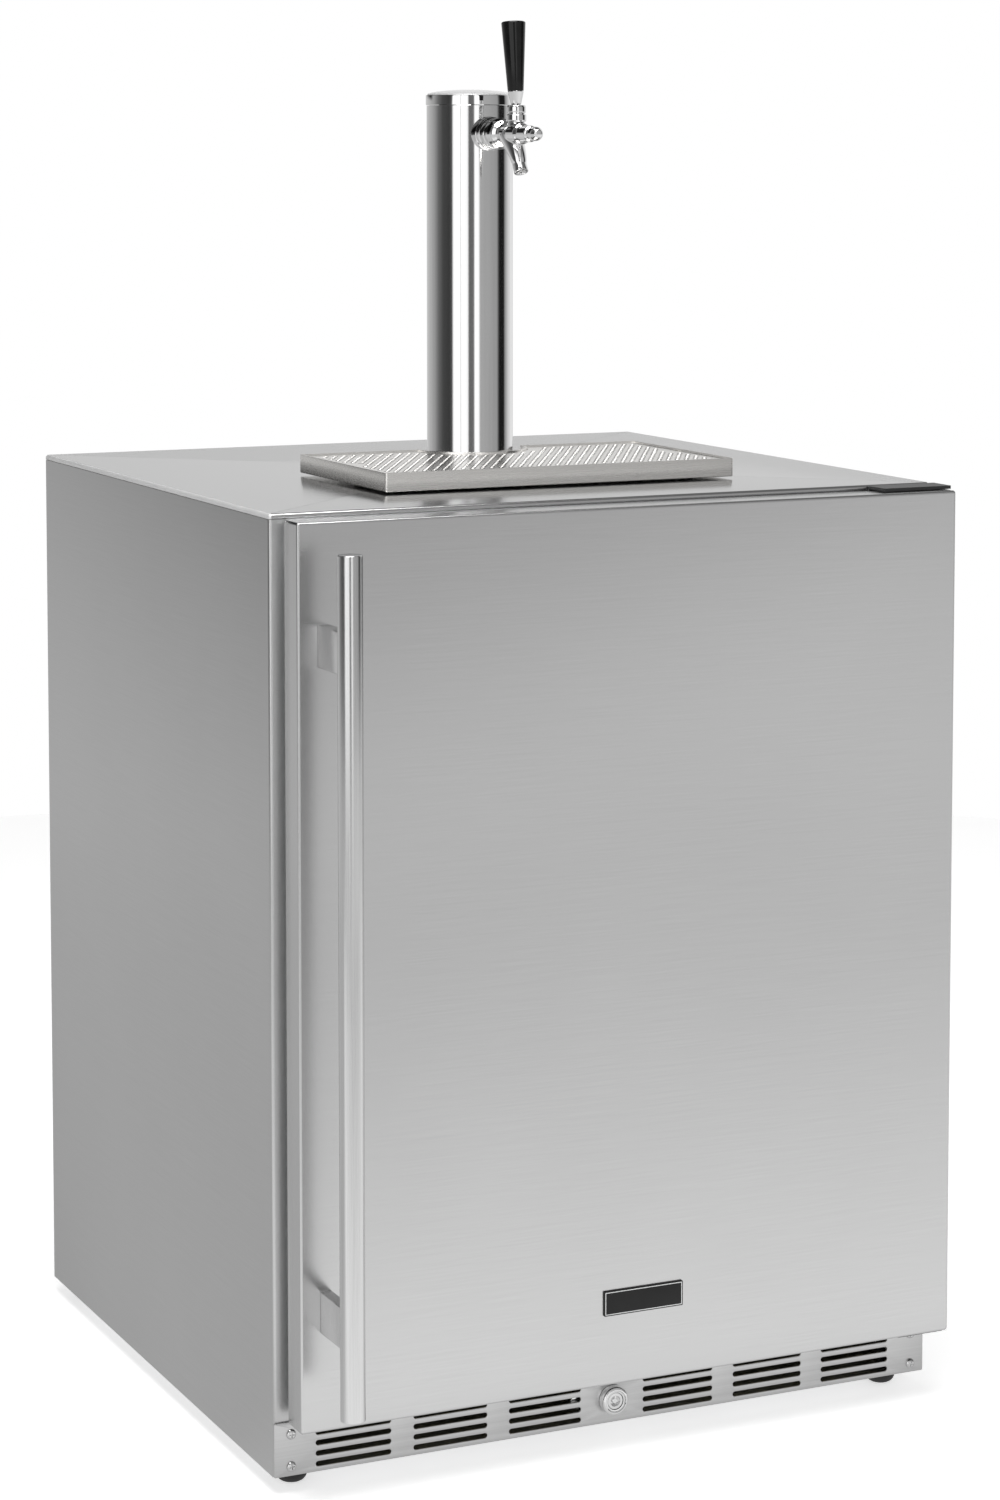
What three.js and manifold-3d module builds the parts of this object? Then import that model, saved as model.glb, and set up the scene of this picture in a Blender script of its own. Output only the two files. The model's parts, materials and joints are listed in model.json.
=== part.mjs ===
// Undercounter kegerator: a steel cabinet on levelling feet, a right-hinged door with a bar handle,
// a single-faucet draft tower, a drip tray, and the cooling and gas equipment inside.
// Millimetres, +Z up, +X to the right as seen from the front, front face towards -Y.
// The origin is the centre of the bounding box, at the floor.

import * as THREE from "three";
import { mergeVertices } from "three/addons/utils/BufferGeometryUtils.js";
import Module from "manifold-3d";

const wasm = await Module();
wasm.setup();

// ---------------------------------------------------------------- driving dimensions

const WIDTH = 606; // cabinet, side to side
const DEPTH = 568; // cabinet, front face to back
const HEIGHT = 778; // cabinet without its feet
const FOOT_HEIGHT = 14; // showing below the cabinet
const SHEET = 1.2; // outer steel sheet
const GAP = 0.3; // between neighbouring pieces
const FOLD = 16; // turned-in edge of a side panel

const LINER = 1; // thickness of the inner liner
const WALL = 44; // cabinet side to liner surface, with the insulation between
const CAVITY_FLOOR = 92; // above the floor
const CAVITY_CEILING = 750;
const CAVITY_BACK = 238; // y of the rear wall
const HUMP_FRONT = 20; // y of the step over the machine space
const HUMP_TOP = 222;
const DUCT_TOP = 45; // underside of the insulated floor
const MACHINE_FRONT = 60;
const MACHINE_TOP = 185;

const DOOR_LEFT = -294;
const DOOR_RIGHT = 306;
const DOOR_BOTTOM = 60;
const DOOR_TOP = 788;
const DOOR_THICKNESS = 27;
const GASKET_DEPTH = 10; // cabinet face to the back of the door
const HINGE_X = 297;
const HINGE_Y = -302;
const PIN_RADIUS = 4;

const HANDLE_X = -272;
const HANDLE_RADIUS = 10;
const HANDLE_BOTTOM = 87;
const HANDLE_TOP = 768;
const HANDLE_STANDOFF = 54.5; // door face to the bar's centre line
const POST_HEIGHTS = [157.5, 690.5];

const GRILLE_HEIGHT = 44.7;
const SLOT_LENGTH = 66;
const SLOT_HEIGHT = 4;
const SLOT_PITCH = 8.7;
const SLOT_CENTRES = [-234, -148, -62, 62, 148, 234];
const SLOT_FIRST = 20.5;
const LOCK_HEIGHT = 34;

const TOWER_RADIUS = 38.1; // 3 in column
const TOWER_TOP = 321; // above the cabinet top
const FAUCET_HEIGHT = 296.5; // shank axis above the cabinet top
const LEVER_Y = -102; // in front of the tower axis
const LEVER_PIVOT = 20; // ball centre above the shank axis
const LEVER_LEAN = 0.08; // radians that the closed handle leans back from upright

const TRAY_WIDTH = 326;
const TRAY_FRONT = -190;
const TRAY_BACK = 0;
const TRAY_HEIGHT = 16;
const TRAY_FEET = 2;
const TRAY_SHEET = 1.2;
const TRAY_NOTCH = 49.5; // radius of the bite around the tower

const KEG_Y = -132; // centre line of the keg bay
const KEG_TOP = 690;
const CYLINDER_RADIUS = 66.5; // 5 lb gas cylinder
const CYLINDER_X = 150;
const CYLINDER_Y = 130;

// derived places
const SIDE = WIDTH / 2;
const FRONT = -DEPTH / 2;
const BACK = DEPTH / 2;
const BASE = FOOT_HEIGHT;
const TOP = BASE + HEIGHT;
const CAVITY_SIDE = SIDE - WALL - 1;
const DOOR_BACK = FRONT - GASKET_DEPTH;
const DOOR_FACE = DOOR_BACK - DOOR_THICKNESS;
const HANDLE_Y = DOOR_FACE - HANDLE_STANDOFF;
const SHANK_Z = TOP + FAUCET_HEIGHT;
const PIVOT_Z = SHANK_Z + LEVER_PIVOT;
const FRAME_SIDE = SIDE - FOLD - GAP;
const FRAME_BOTTOM = 76;
const FRAME_TOP = 769.7;
const FRAME_THICKNESS = 4;
const LINER_FRONT = FRONT + FRAME_THICKNESS + GAP;
const CYLINDER_BASE = HUMP_TOP + GAP;
const VALVE_Z = CYLINDER_BASE + 404;

// ---------------------------------------------------------------- materials

function finish(color, roughness, metalness) {
  return new THREE.MeshStandardMaterial({ color, roughness, metalness });
}

const brushedSteel = finish(0xb4b5b6, 0.38, 1.0);
const polishedSteel = finish(0xd6d7d8, 0.12, 1.0);
const chrome = finish(0xe2e3e4, 0.06, 1.0);
const galvanised = finish(0x9a9d9f, 0.55, 0.8);
const foam = finish(0xd9cfa6, 0.95, 0.0);
const whitePlastic = finish(0xeef0f0, 0.35, 0.0);
const greyPlastic = finish(0x8c9093, 0.5, 0.0);
const blackPlastic = finish(0x0d0d0e, 0.12, 0.0);
const blackRubber = finish(0x151515, 0.85, 0.0);
const blackPaint = finish(0x1b1c1e, 0.5, 0.3);
const brass = finish(0xc6a557, 0.3, 1.0);
const aluminium = finish(0xc4c6c8, 0.4, 1.0);
const copper = finish(0xb87548, 0.35, 1.0);
const clearHose = finish(0xdfe8ea, 0.2, 0.0);
const redHose = finish(0x9c2320, 0.4, 0.0);

// ---------------------------------------------------------------- shape helpers

const group = new THREE.Group();

// A box between two corners.
function block(x0, x1, y0, y1, z0, z1) {
  const box = new THREE.BoxGeometry(x1 - x0, y1 - y0, z1 - z0);
  return box.translate((x0 + x1) / 2, (y0 + y1) / 2, (z0 + z1) / 2);
}

// A box given by its half width about x = 0.
function slab(half, y0, y1, z0, z1) {
  return block(-half, half, y0, y1, z0, z1);
}

// A solid of revolution about +Z, from [radius, height] pairs that start and end on the axis.
function turned(profile, segments = 24) {
  const points = profile.map(([radius, height]) => new THREE.Vector2(radius, height));
  return new THREE.LatheGeometry(points, segments).rotateX(Math.PI / 2);
}

// A cylinder along +Z between two heights.
function rod(radius, z0, z1, segments = 16) {
  return turned([[0, z0], [radius, z0], [radius, z1], [0, z1]], segments);
}

// The same shapes along -Y, so that heights count towards the front.
function towardsFront(geometry) {
  return geometry.rotateX(Math.PI / 2);
}

// The same shapes along +X.
function towardsRight(geometry) {
  return geometry.rotateY(Math.PI / 2);
}

// A flat outline in the XY plane, extruded upwards.
function raised(outline, z0, z1, arcSegments = 16) {
  const options = { depth: z1 - z0, bevelEnabled: false, curveSegments: arcSegments };
  return new THREE.ExtrudeGeometry(outline, options).translate(0, 0, z0);
}

// An outline in the YZ plane, extruded along X across plus and minus half.
function crosswise(points, half) {
  const outline = new THREE.Shape(points.map(([y, z]) => new THREE.Vector2(y, z)));
  const options = { depth: 2 * half, bevelEnabled: false };
  const along = new THREE.ExtrudeGeometry(outline, options).translate(0, 0, -half);
  const axes = new THREE.Matrix4().makeBasis(
    new THREE.Vector3(0, 1, 0),
    new THREE.Vector3(0, 0, 1),
    new THREE.Vector3(1, 0, 0),
  );
  return along.applyMatrix4(axes);
}

// A round bar or hose along a smooth curve through the given points.
function swept(points, radius, sides = 10, steps = 60) {
  const path = new THREE.CatmullRomCurve3(points.map((p) => new THREE.Vector3(...p)));
  const section = new THREE.Shape();
  for (let i = 0; i < sides; i += 1) {
    const angle = (2 * Math.PI * i) / sides;
    const place = [radius * Math.cos(angle), radius * Math.sin(angle)];
    if (i === 0) {
      section.moveTo(...place);
    } else {
      section.lineTo(...place);
    }
  }
  section.closePath();
  return new THREE.ExtrudeGeometry(section, { steps, extrudePath: path, bevelEnabled: false });
}

// A geometry with merged corners, no zero-area triangles, and its faces pointing out.
function closed(geometry) {
  const bare = geometry.clone();
  bare.deleteAttribute("normal");
  bare.deleteAttribute("uv");
  const merged = mergeVertices(bare, 1e-4);
  const place = merged.getAttribute("position");
  const index = merged.getIndex();
  const corner = (k) => new THREE.Vector3().fromBufferAttribute(place, k);
  const kept = [];
  let volume = 0;
  for (let i = 0; i < index.count; i += 3) {
    const [a, b, c] = [index.getX(i), index.getX(i + 1), index.getX(i + 2)];
    if (a !== b && b !== c && c !== a) {
      kept.push([a, b, c]);
      volume += corner(a).dot(corner(b).cross(corner(c)));
    }
  }
  const order = volume < 0 ? kept.map(([a, b, c]) => [a, c, b]) : kept;
  merged.setIndex(order.flat());
  return merged;
}

function solid(geometry) {
  const mesh = closed(geometry);
  const vertProperties = new Float32Array(mesh.getAttribute("position").array);
  const triVerts = new Uint32Array(mesh.getIndex().array);
  return new wasm.Manifold(new wasm.Mesh({ numProp: 3, vertProperties, triVerts }));
}

function geometryOf(manifold) {
  const mesh = manifold.getMesh();
  const geometry = new THREE.BufferGeometry();
  geometry.setAttribute("position", new THREE.BufferAttribute(new Float32Array(mesh.vertProperties), 3));
  geometry.setIndex(new THREE.BufferAttribute(new Uint32Array(mesh.triVerts), 1));
  return geometry;
}

function join(...geometries) {
  return geometryOf(geometries.map(solid).reduce((whole, piece) => whole.add(piece)));
}

function cut(geometry, ...tools) {
  return geometryOf(tools.map(solid).reduce((whole, tool) => whole.subtract(tool), solid(geometry)));
}

function add(name, geometry, material) {
  const mesh = new THREE.Mesh(closed(geometry), material);
  mesh.geometry.computeVertexNormals();
  mesh.name = name;
  group.add(mesh);
  return mesh;
}

// ---------------------------------------------------------------- cabinet shell

function sidePanel() {
  const x = -SIDE;
  const corners = [
    [x, FRONT],
    [x + FOLD, FRONT],
    [x + FOLD, FRONT + SHEET],
    [x + SHEET, FRONT + SHEET],
    [x + SHEET, BACK - SHEET],
    [x + FOLD, BACK - SHEET],
    [x + FOLD, BACK],
    [x, BACK],
  ];
  const outline = new THREE.Shape(corners.map(([px, py]) => new THREE.Vector2(px, py)));
  return raised(outline, BASE, TOP - SHEET - GAP);
}

const LINE_HOLE = 30; // radius of the cold-air and beer-line passage up into the tower

function topPanel() {
  const sheet = slab(SIDE, FRONT, BACK, TOP - SHEET, TOP);
  const flange = slab(FRAME_SIDE, FRONT, FRONT + SHEET, FRAME_TOP + GAP, TOP - SHEET / 2);
  return cut(join(sheet, flange), rod(LINE_HOLE, TOP - 5, TOP + 5, 32));
}

function backPanel() {
  const sheet = slab(FRAME_SIDE, BACK - SHEET, BACK, BASE, TOP - SHEET - GAP);
  const openings = [];
  for (const x of [-180, -95, -10, 75]) {
    for (let row = 0; row < 7; row += 1) {
      const z = 50 + 17 * row;
      openings.push(block(x, x + 62, BACK - 5, BACK + 5, z, z + 6));
    }
  }
  openings.push(block(202, 230, BACK - 5, BACK + 5, 60, 82));
  return cut(sheet, ...openings);
}

const FOOT_X = 277;
const FOOT_Y = 257;
const STUD_RADIUS = 4;
const footPlaces = {
  front_left: [-FOOT_X, -FOOT_Y],
  front_right: [FOOT_X, -FOOT_Y],
  rear_left: [-FOOT_X, FOOT_Y],
  rear_right: [FOOT_X, FOOT_Y],
};
const INNER_SIDE = SIDE - SHEET - GAP;
const INNER_BACK = BACK - SHEET - GAP;

function basePan() {
  const sheet = slab(INNER_SIDE, -INNER_BACK, INNER_BACK, BASE, BASE + SHEET);
  const holes = Object.values(footPlaces).map(([x, y]) => {
    return rod(STUD_RADIUS + 0.6, BASE - 5, BASE + 5, 12).translate(x, y, 0);
  });
  return cut(sheet, ...holes);
}

function levellingFoot() {
  const profile = [
    [0, 0],
    [7, 0],
    [10.5, 1.6],
    [12.5, 4.6],
    [13, 8],
    [13, BASE - GAP],
    [STUD_RADIUS, BASE - GAP],
    [STUD_RADIUS, 40],
    [0, 40],
  ];
  return turned(profile, 18);
}

const STRIKE_SLOT = 9; // half width of the opening that the lock's strike enters

function frontSill() {
  const strip = slab(FRAME_SIDE, FRONT, FRONT + SHEET, 59.3, FRAME_BOTTOM - GAP);
  return cut(strip, slab(STRIKE_SLOT, FRONT - 5, FRONT + 5, 61, 74.3));
}

function frontFrame() {
  const y1 = FRONT + FRAME_THICKNESS;
  const plate = slab(FRAME_SIDE, FRONT, y1, FRAME_BOTTOM, FRAME_TOP);
  return cut(plate, slab(CAVITY_SIDE, FRONT - 5, y1 + 5, CAVITY_FLOOR, CAVITY_CEILING));
}

add("side_panel_left", sidePanel(), brushedSteel);
add("side_panel_right", sidePanel().scale(-1, 1, 1), brushedSteel);
add("top_panel", topPanel(), brushedSteel);
add("back_panel", backPanel(), galvanised);
add("base_pan", basePan(), galvanised);
add("front_sill", frontSill(), brushedSteel);
add("front_frame", frontFrame(), whitePlastic);
for (const [name, [x, y]] of Object.entries(footPlaces)) {
  add(`levelling_foot_${name}`, levellingFoot(), blackRubber).position.set(x, y, 0);
}

// ---------------------------------------------------------------- insulation and liner

// The refrigerated space in side view, grown outwards by a wall thickness.
function cavityProfile(front, grow) {
  return [
    [front, CAVITY_FLOOR - grow],
    [HUMP_FRONT + grow, CAVITY_FLOOR - grow],
    [HUMP_FRONT + grow, HUMP_TOP - grow],
    [CAVITY_BACK + grow, HUMP_TOP - grow],
    [CAVITY_BACK + grow, CAVITY_CEILING + grow],
    [front, CAVITY_CEILING + grow],
  ];
}

function innerLiner() {
  const outside = crosswise(cavityProfile(LINER_FRONT, LINER), CAVITY_SIDE + LINER);
  const inside = crosswise(cavityProfile(LINER_FRONT - 10, 0), CAVITY_SIDE);
  return cut(outside, inside, rod(LINE_HOLE, CAVITY_CEILING - 5, CAVITY_CEILING + 5, 32));
}

const FOAM_TOP_OF_BASE = CAVITY_FLOOR - LINER - GAP;
const LINER_SIDE = CAVITY_SIDE + LINER;
const POCKET_BACK = FRONT + 22; // room behind the sill for the lock's cam

function foamBase() {
  const floor = [
    [POCKET_BACK, DUCT_TOP],
    [MACHINE_FRONT, DUCT_TOP],
    [MACHINE_FRONT, FOAM_TOP_OF_BASE],
    [LINER_FRONT, FOAM_TOP_OF_BASE],
    [LINER_FRONT, FRAME_BOTTOM + GAP],
    [POCKET_BACK, FRAME_BOTTOM + GAP],
  ];
  const humpFront = HUMP_FRONT + LINER + GAP;
  const humpTop = HUMP_TOP - LINER - GAP;
  const hump = [
    [humpFront, FOAM_TOP_OF_BASE - 10],
    [MACHINE_FRONT, FOAM_TOP_OF_BASE - 10],
    [MACHINE_FRONT, MACHINE_TOP],
    [INNER_BACK, MACHINE_TOP],
    [INNER_BACK, humpTop],
    [humpFront, humpTop],
  ];
  return join(crosswise(floor, INNER_SIDE), crosswise(hump, LINER_SIDE));
}

function foamSide() {
  const x0 = LINER_SIDE + GAP;
  return block(x0, INNER_SIDE, LINER_FRONT, INNER_BACK, CAVITY_FLOOR - LINER, CAVITY_CEILING + LINER);
}

function foamTop() {
  const low = CAVITY_CEILING + LINER + GAP;
  const board = slab(INNER_SIDE, LINER_FRONT, INNER_BACK, low, TOP - SHEET - GAP);
  return cut(board, rod(LINE_HOLE, low - 5, TOP + 5, 32));
}

function foamBack() {
  const low = HUMP_TOP - LINER;
  return slab(LINER_SIDE, CAVITY_BACK + LINER + GAP, INNER_BACK, low, CAVITY_CEILING + LINER);
}

add("foam_base", foamBase(), foam);
add("foam_right", foamSide(), foam);
add("foam_left", foamSide().scale(-1, 1, 1), foam);
add("foam_top", foamTop(), foam);
add("foam_back", foamBack(), foam);
add("inner_liner", innerLiner(), whitePlastic);

// ---------------------------------------------------------------- kick grille and lock

const GRILLE_BACK = FRONT - GAP;
const GRILLE_FACE = GRILLE_BACK - SHEET;

// A slot with round ends, as an outline about its centre.
function slotOutline(length, height) {
  const radius = height / 2;
  const half = length / 2 - radius;
  const outline = new THREE.Shape();
  outline.moveTo(-half, -radius);
  outline.lineTo(half, -radius);
  outline.absarc(half, 0, radius, -Math.PI / 2, Math.PI / 2, false);
  outline.lineTo(-half, radius);
  outline.absarc(-half, 0, radius, Math.PI / 2, (3 * Math.PI) / 2, false);
  return outline;
}

function grillePanel() {
  const z1 = BASE + GRILLE_HEIGHT;
  const outline = new THREE.Shape([
    new THREE.Vector2(-SIDE, BASE),
    new THREE.Vector2(SIDE, BASE),
    new THREE.Vector2(SIDE, z1),
    new THREE.Vector2(-SIDE, z1),
  ]);
  for (const x of SLOT_CENTRES) {
    for (let row = 0; row < 4; row += 1) {
      const places = slotOutline(SLOT_LENGTH, SLOT_HEIGHT).getPoints(2);
      const hole = new THREE.Path(places.map((p) => {
        return new THREE.Vector2(p.x + x, p.y + SLOT_FIRST + SLOT_PITCH * row);
      }));
      outline.holes.push(hole);
    }
  }
  const lockHole = new THREE.Path();
  lockHole.absarc(0, LOCK_HEIGHT, LOCK_BARREL + GAP, 0, 2 * Math.PI, true);
  outline.holes.push(lockHole);
  return towardsFront(raised(outline, -GRILLE_BACK, -GRILLE_FACE, 10));
}

const LOCK_BARREL = 9.5;
const LOCK_RING = 12;
const LOCK_BORE = 7.3;
const LOCK_FACE = -GRILLE_FACE + 8;

function lockHousing() {
  const profile = [
    [LOCK_BORE, 281.5],
    [LOCK_BARREL, 281.5],
    [LOCK_BARREL, -GRILLE_FACE + GAP],
    [LOCK_RING, -GRILLE_FACE + GAP],
    [LOCK_RING, LOCK_FACE - 1],
    [LOCK_RING - 1, LOCK_FACE],
    [LOCK_BORE, LOCK_FACE],
    [LOCK_BORE, 281.5],
  ];
  return towardsFront(turned(profile, 24)).translate(0, 0, LOCK_HEIGHT);
}

const CAM_LENGTH = 36;
const CAM_FRONT = 280;

function lockPlug() {
  const barrel = [
    [0, CAM_FRONT - 2.4],
    [LOCK_BORE - GAP, CAM_FRONT - 2.4],
    [LOCK_BORE - GAP, LOCK_FACE - 1.5],
    [5, LOCK_FACE - 1.5],
    [5, LOCK_FACE - 5],
    [2, LOCK_FACE - 5],
    [2, LOCK_FACE - 2.5],
    [0, LOCK_FACE - 2.5],
  ];
  const plug = towardsFront(turned(barrel, 20));
  const cam = block(-CAM_LENGTH, 5, -CAM_FRONT, -CAM_FRONT + 2.4, -6, 6);
  return join(plug, cam).translate(0, 0, LOCK_HEIGHT);
}

add("grille_panel", grillePanel(), brushedSteel);
add("lock_housing", lockHousing(), polishedSteel);
add("lock_plug", lockPlug(), polishedSteel);

// ---------------------------------------------------------------- hinges

const BRACKET = 2.8; // thickness of the hinge plates
const BRACKET_FRONT = HINGE_Y - 10;

function hingeBracketTop() {
  const z1 = TOP - 0.6;
  const plate = block(241, DOOR_RIGHT, BRACKET_FRONT, FRONT - GAP, z1 - BRACKET, z1);
  const flange = block(241, 296, FRONT - GAP - BRACKET, FRONT - GAP, 770.5, z1);
  const pin = rod(PIN_RADIUS, 772, z1 - 1, 20).translate(HINGE_X, HINGE_Y, 0);
  return join(plate, flange, pin);
}

function hingeBracketBottom() {
  const z1 = DOOR_BOTTOM - 0.4;
  const plate = block(262, DOOR_RIGHT, BRACKET_FRONT, GRILLE_FACE - GAP, z1 - BRACKET, z1);
  const flange = block(283, 302, FRONT - GAP - BRACKET, FRONT - GAP, z1 - 0.6, 90);
  const pin = rod(PIN_RADIUS, z1 - 1, 76, 20).translate(HINGE_X, HINGE_Y, 0);
  return join(plate, flange, pin);
}

add("hinge_bracket_top", hingeBracketTop(), blackPaint);
add("hinge_bracket_bottom", hingeBracketBottom(), blackPaint);

// ---------------------------------------------------------------- door

const INNER_PANEL = 2.2;

function doorSkin() {
  const pan = block(DOOR_LEFT, DOOR_RIGHT, DOOR_FACE, DOOR_BACK, DOOR_BOTTOM, DOOR_TOP);
  const hollow = block(
    DOOR_LEFT + SHEET,
    DOOR_RIGHT - SHEET,
    DOOR_FACE + SHEET,
    DOOR_BACK + 5,
    DOOR_BOTTOM + SHEET,
    DOOR_TOP - SHEET,
  );
  const pinHole = rod(PIN_RADIUS + 0.4, DOOR_BOTTOM - 5, DOOR_TOP + 5, 20);
  return cut(pan, hollow, pinHole.translate(HINGE_X, HINGE_Y, 0));
}

function doorFoam() {
  const inset = SHEET + GAP;
  const core = block(
    DOOR_LEFT + inset,
    DOOR_RIGHT - inset,
    DOOR_FACE + inset,
    DOOR_BACK - INNER_PANEL - GAP,
    DOOR_BOTTOM + inset,
    DOOR_TOP - inset,
  );
  const top = rod(PIN_RADIUS + 1, 770, DOOR_TOP + 5, 20).translate(HINGE_X, HINGE_Y, 0);
  const bottom = rod(PIN_RADIUS + 1, DOOR_BOTTOM - 5, 78, 20).translate(HINGE_X, HINGE_Y, 0);
  return cut(core, top, bottom);
}

function doorInnerPanel() {
  const inset = SHEET + GAP;
  const x0 = DOOR_LEFT + inset;
  const x1 = DOOR_RIGHT - inset;
  return block(x0, x1, DOOR_BACK - INNER_PANEL, DOOR_BACK, DOOR_BOTTOM + inset, DOOR_TOP - inset);
}

function doorGasket() {
  const y0 = DOOR_BACK + GAP;
  const y1 = FRONT - GAP;
  const ring = slab(279, y0, y1, 77, 766);
  return cut(ring, slab(265, y0 - 5, y1 + 5, 91, 752));
}

function handleBar() {
  return rod(HANDLE_RADIUS, HANDLE_BOTTOM, HANDLE_TOP, 32).translate(HANDLE_X, HANDLE_Y, 0);
}

function handlePost(z) {
  const half = 17;
  const arm = block(HANDLE_X - 5, HANDLE_X + 5, HANDLE_Y + 6, DOOR_FACE - GAP, z - half, z + half);
  const seat = rod(HANDLE_RADIUS + GAP, z - 2 * half, z + 2 * half, 32);
  return cut(arm, seat.translate(HANDLE_X, HANDLE_Y, 0));
}

function badgePlate() {
  return block(-26, 47, DOOR_FACE - GAP - 1.5, DOOR_FACE - GAP, 119, 140);
}

function lockStrike() {
  const y0 = DOOR_BACK + GAP;
  const foot = slab(12, y0, y0 + SHEET, 62, 75);
  const arm = slab(7, y0, -272, 71, 72.5);
  const lip = slab(7, -273.5, -272, 62, 72.5);
  return join(foot, arm, lip);
}

add("door_skin", doorSkin(), brushedSteel);
add("door_foam", doorFoam(), foam);
add("door_inner_panel", doorInnerPanel(), whitePlastic);
add("door_gasket", doorGasket(), blackRubber);
add("handle_bar", handleBar(), brushedSteel);
add("handle_post_bottom", handlePost(POST_HEIGHTS[0]), brushedSteel);
add("handle_post_top", handlePost(POST_HEIGHTS[1]), brushedSteel);
add("badge_plate", badgePlate(), blackPlastic);
add("lock_strike", lockStrike(), galvanised);

// ---------------------------------------------------------------- draft tower

const FLANGE_RADIUS = 46;
const FLANGE_THICKNESS = 6;
const COLUMN_WALL = 1.5;
const SHANK_RADIUS = 10.9;
const COLUMN_TOP = TOP + TOWER_TOP;
const CAP_BAND = 9.4;
const CAP_DOME = 4.6;
const CAP_RADIUS = TOWER_RADIUS + 0.7;

function towerColumn() {
  const z0 = TOP + GAP;
  const profile = [
    [TOWER_RADIUS - COLUMN_WALL, z0],
    [FLANGE_RADIUS, z0],
    [FLANGE_RADIUS, z0 + FLANGE_THICKNESS],
    [TOWER_RADIUS, z0 + FLANGE_THICKNESS],
    [TOWER_RADIUS, COLUMN_TOP],
    [TOWER_RADIUS - COLUMN_WALL, COLUMN_TOP],
    [TOWER_RADIUS - COLUMN_WALL, z0],
  ];
  const shankHole = towardsFront(rod(SHANK_RADIUS + GAP, 20, 50)).translate(0, 0, SHANK_Z);
  return cut(turned(profile, 40), shankHole);
}

function towerCap() {
  const z0 = COLUMN_TOP;
  const profile = [[0, z0 - 8], [TOWER_RADIUS - COLUMN_WALL - GAP, z0 - 8]];
  profile.push([TOWER_RADIUS - COLUMN_WALL - GAP, z0 + GAP]);
  profile.push([CAP_RADIUS, z0 + GAP]);
  profile.push([CAP_RADIUS, z0 + CAP_BAND]);
  for (let i = 1; i <= 4; i += 1) {
    const angle = (i * Math.PI) / 8;
    const radius = i === 4 ? 0 : CAP_RADIUS * Math.cos(angle);
    profile.push([radius, z0 + CAP_BAND + CAP_DOME * Math.sin(angle)]);
  }
  return turned(profile, 36);
}

function shank() {
  const tube = towardsFront(rod(SHANK_RADIUS, -6, 66, 24)).translate(0, 0, SHANK_Z);
  const elbow = rod(7, SHANK_Z - 32, SHANK_Z + 2, 16);
  const bore = towardsFront(rod(4, 0, 80, 10)).translate(0, 0, SHANK_Z);
  const drop = rod(4, SHANK_Z - 50, SHANK_Z, 10);
  return cut(join(tube, elbow), bore, drop);
}

function shankCollar() {
  const profile = [
    [SHANK_RADIUS + GAP, 30],
    [14.8, 30],
    [14.8, 44],
    [14, 50],
    [SHANK_RADIUS + GAP, 50],
    [SHANK_RADIUS + GAP, 30],
  ];
  const bell = towardsFront(turned(profile, 28)).translate(0, 0, SHANK_Z);
  return cut(bell, rod(TOWER_RADIUS + GAP, SHANK_Z - 40, SHANK_Z + 40, 40));
}

function couplingNut() {
  const profile = [
    [SHANK_RADIUS + GAP, 50.3],
    [13.4, 50.3],
    [13.4, 66.5],
    [12.4, 68],
    [SHANK_RADIUS + GAP, 68],
    [SHANK_RADIUS + GAP, 50.3],
  ];
  return towardsFront(turned(profile, 28)).translate(0, 0, SHANK_Z);
}

const SHAFT_RADIUS = 4;
const SHAFT_SLOT = 4.2;

function faucetBody() {
  const profile = [
    [0, 68.3],
    [12.2, 68.3],
    [12.2, 71],
    [8, 76],
    [8, 90],
    [8.8, 92],
    [8.8, 110],
    [7, 112],
    [7, 127],
    [5.8, 129],
    [6, 134],
    [4.4, 140],
    [0, 142],
  ];
  const barrel = towardsFront(turned(profile, 20));
  const neck = rod(7.8, 0, 10, 20).translate(0, LEVER_Y, 0);
  const spoutPath = [
    [0, -84, -3],
    [0, -91, -11],
    [0, -100, -20.5],
    [0, -106, -32],
  ];
  const spout = swept(spoutPath, 6.4, 12, 6);
  const spoutBore = swept([...spoutPath, [0, -113, -46]], 4, 8, 7);
  const bore = towardsFront(rod(SHAFT_RADIUS + 0.6, 60, 126, 12));
  const slot = block(-3.2, 3.2, LEVER_Y - 4, LEVER_Y + 13.5, 0, 20);
  const whole = cut(join(barrel, neck, spout), bore, slot, spoutBore);
  return whole.translate(0, 0, SHANK_Z);
}

function faucetBonnet() {
  const profile = [
    [7.4, 10.3],
    [8, 10.3],
    [8.7, 11.8],
    [8.7, 16.4],
    [7.7, 17.2],
    [8.3, 18.2],
    [8.3, 22.8],
    [7.8, 24.4],
    [7.4, 24.4],
    [5.6, 19],
    [5.6, 15],
    [7.4, 10.3],
  ];
  return turned(profile, 24).translate(0, LEVER_Y, SHANK_Z);
}

function faucetShaft() {
  const stem = towardsFront(rod(SHAFT_RADIUS, 80, 125, 12));
  const slot = block(-5, 5, LEVER_Y - SHAFT_SLOT, LEVER_Y + SHAFT_SLOT, -1.5, 10);
  return cut(stem, slot).translate(0, 0, SHANK_Z);
}

// The lever's upper part, leaning back about the ball's centre.
function leaning(geometry) {
  return geometry.rotateX(-LEVER_LEAN);
}

function faucetLever() {
  const stem = [[0, -LEVER_PIVOT + 0.5], [2.2, -LEVER_PIVOT + 0.5], [2.2, -4.4]];
  for (let i = 1; i <= 5; i += 1) {
    const angle = (-60 + 24 * i) * (Math.PI / 180);
    stem.push([5 * Math.cos(angle), 5 * Math.sin(angle)]);
  }
  stem.push([3, 4.2], [0, 4.2]);
  const socket = leaning(turned([[0, 3], [3, 4.6], [4.4, 5], [6.9, 16.3], [0, 16.3]], 20));
  return join(turned(stem, 20), socket).translate(0, LEVER_Y, PIVOT_Z);
}

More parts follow.
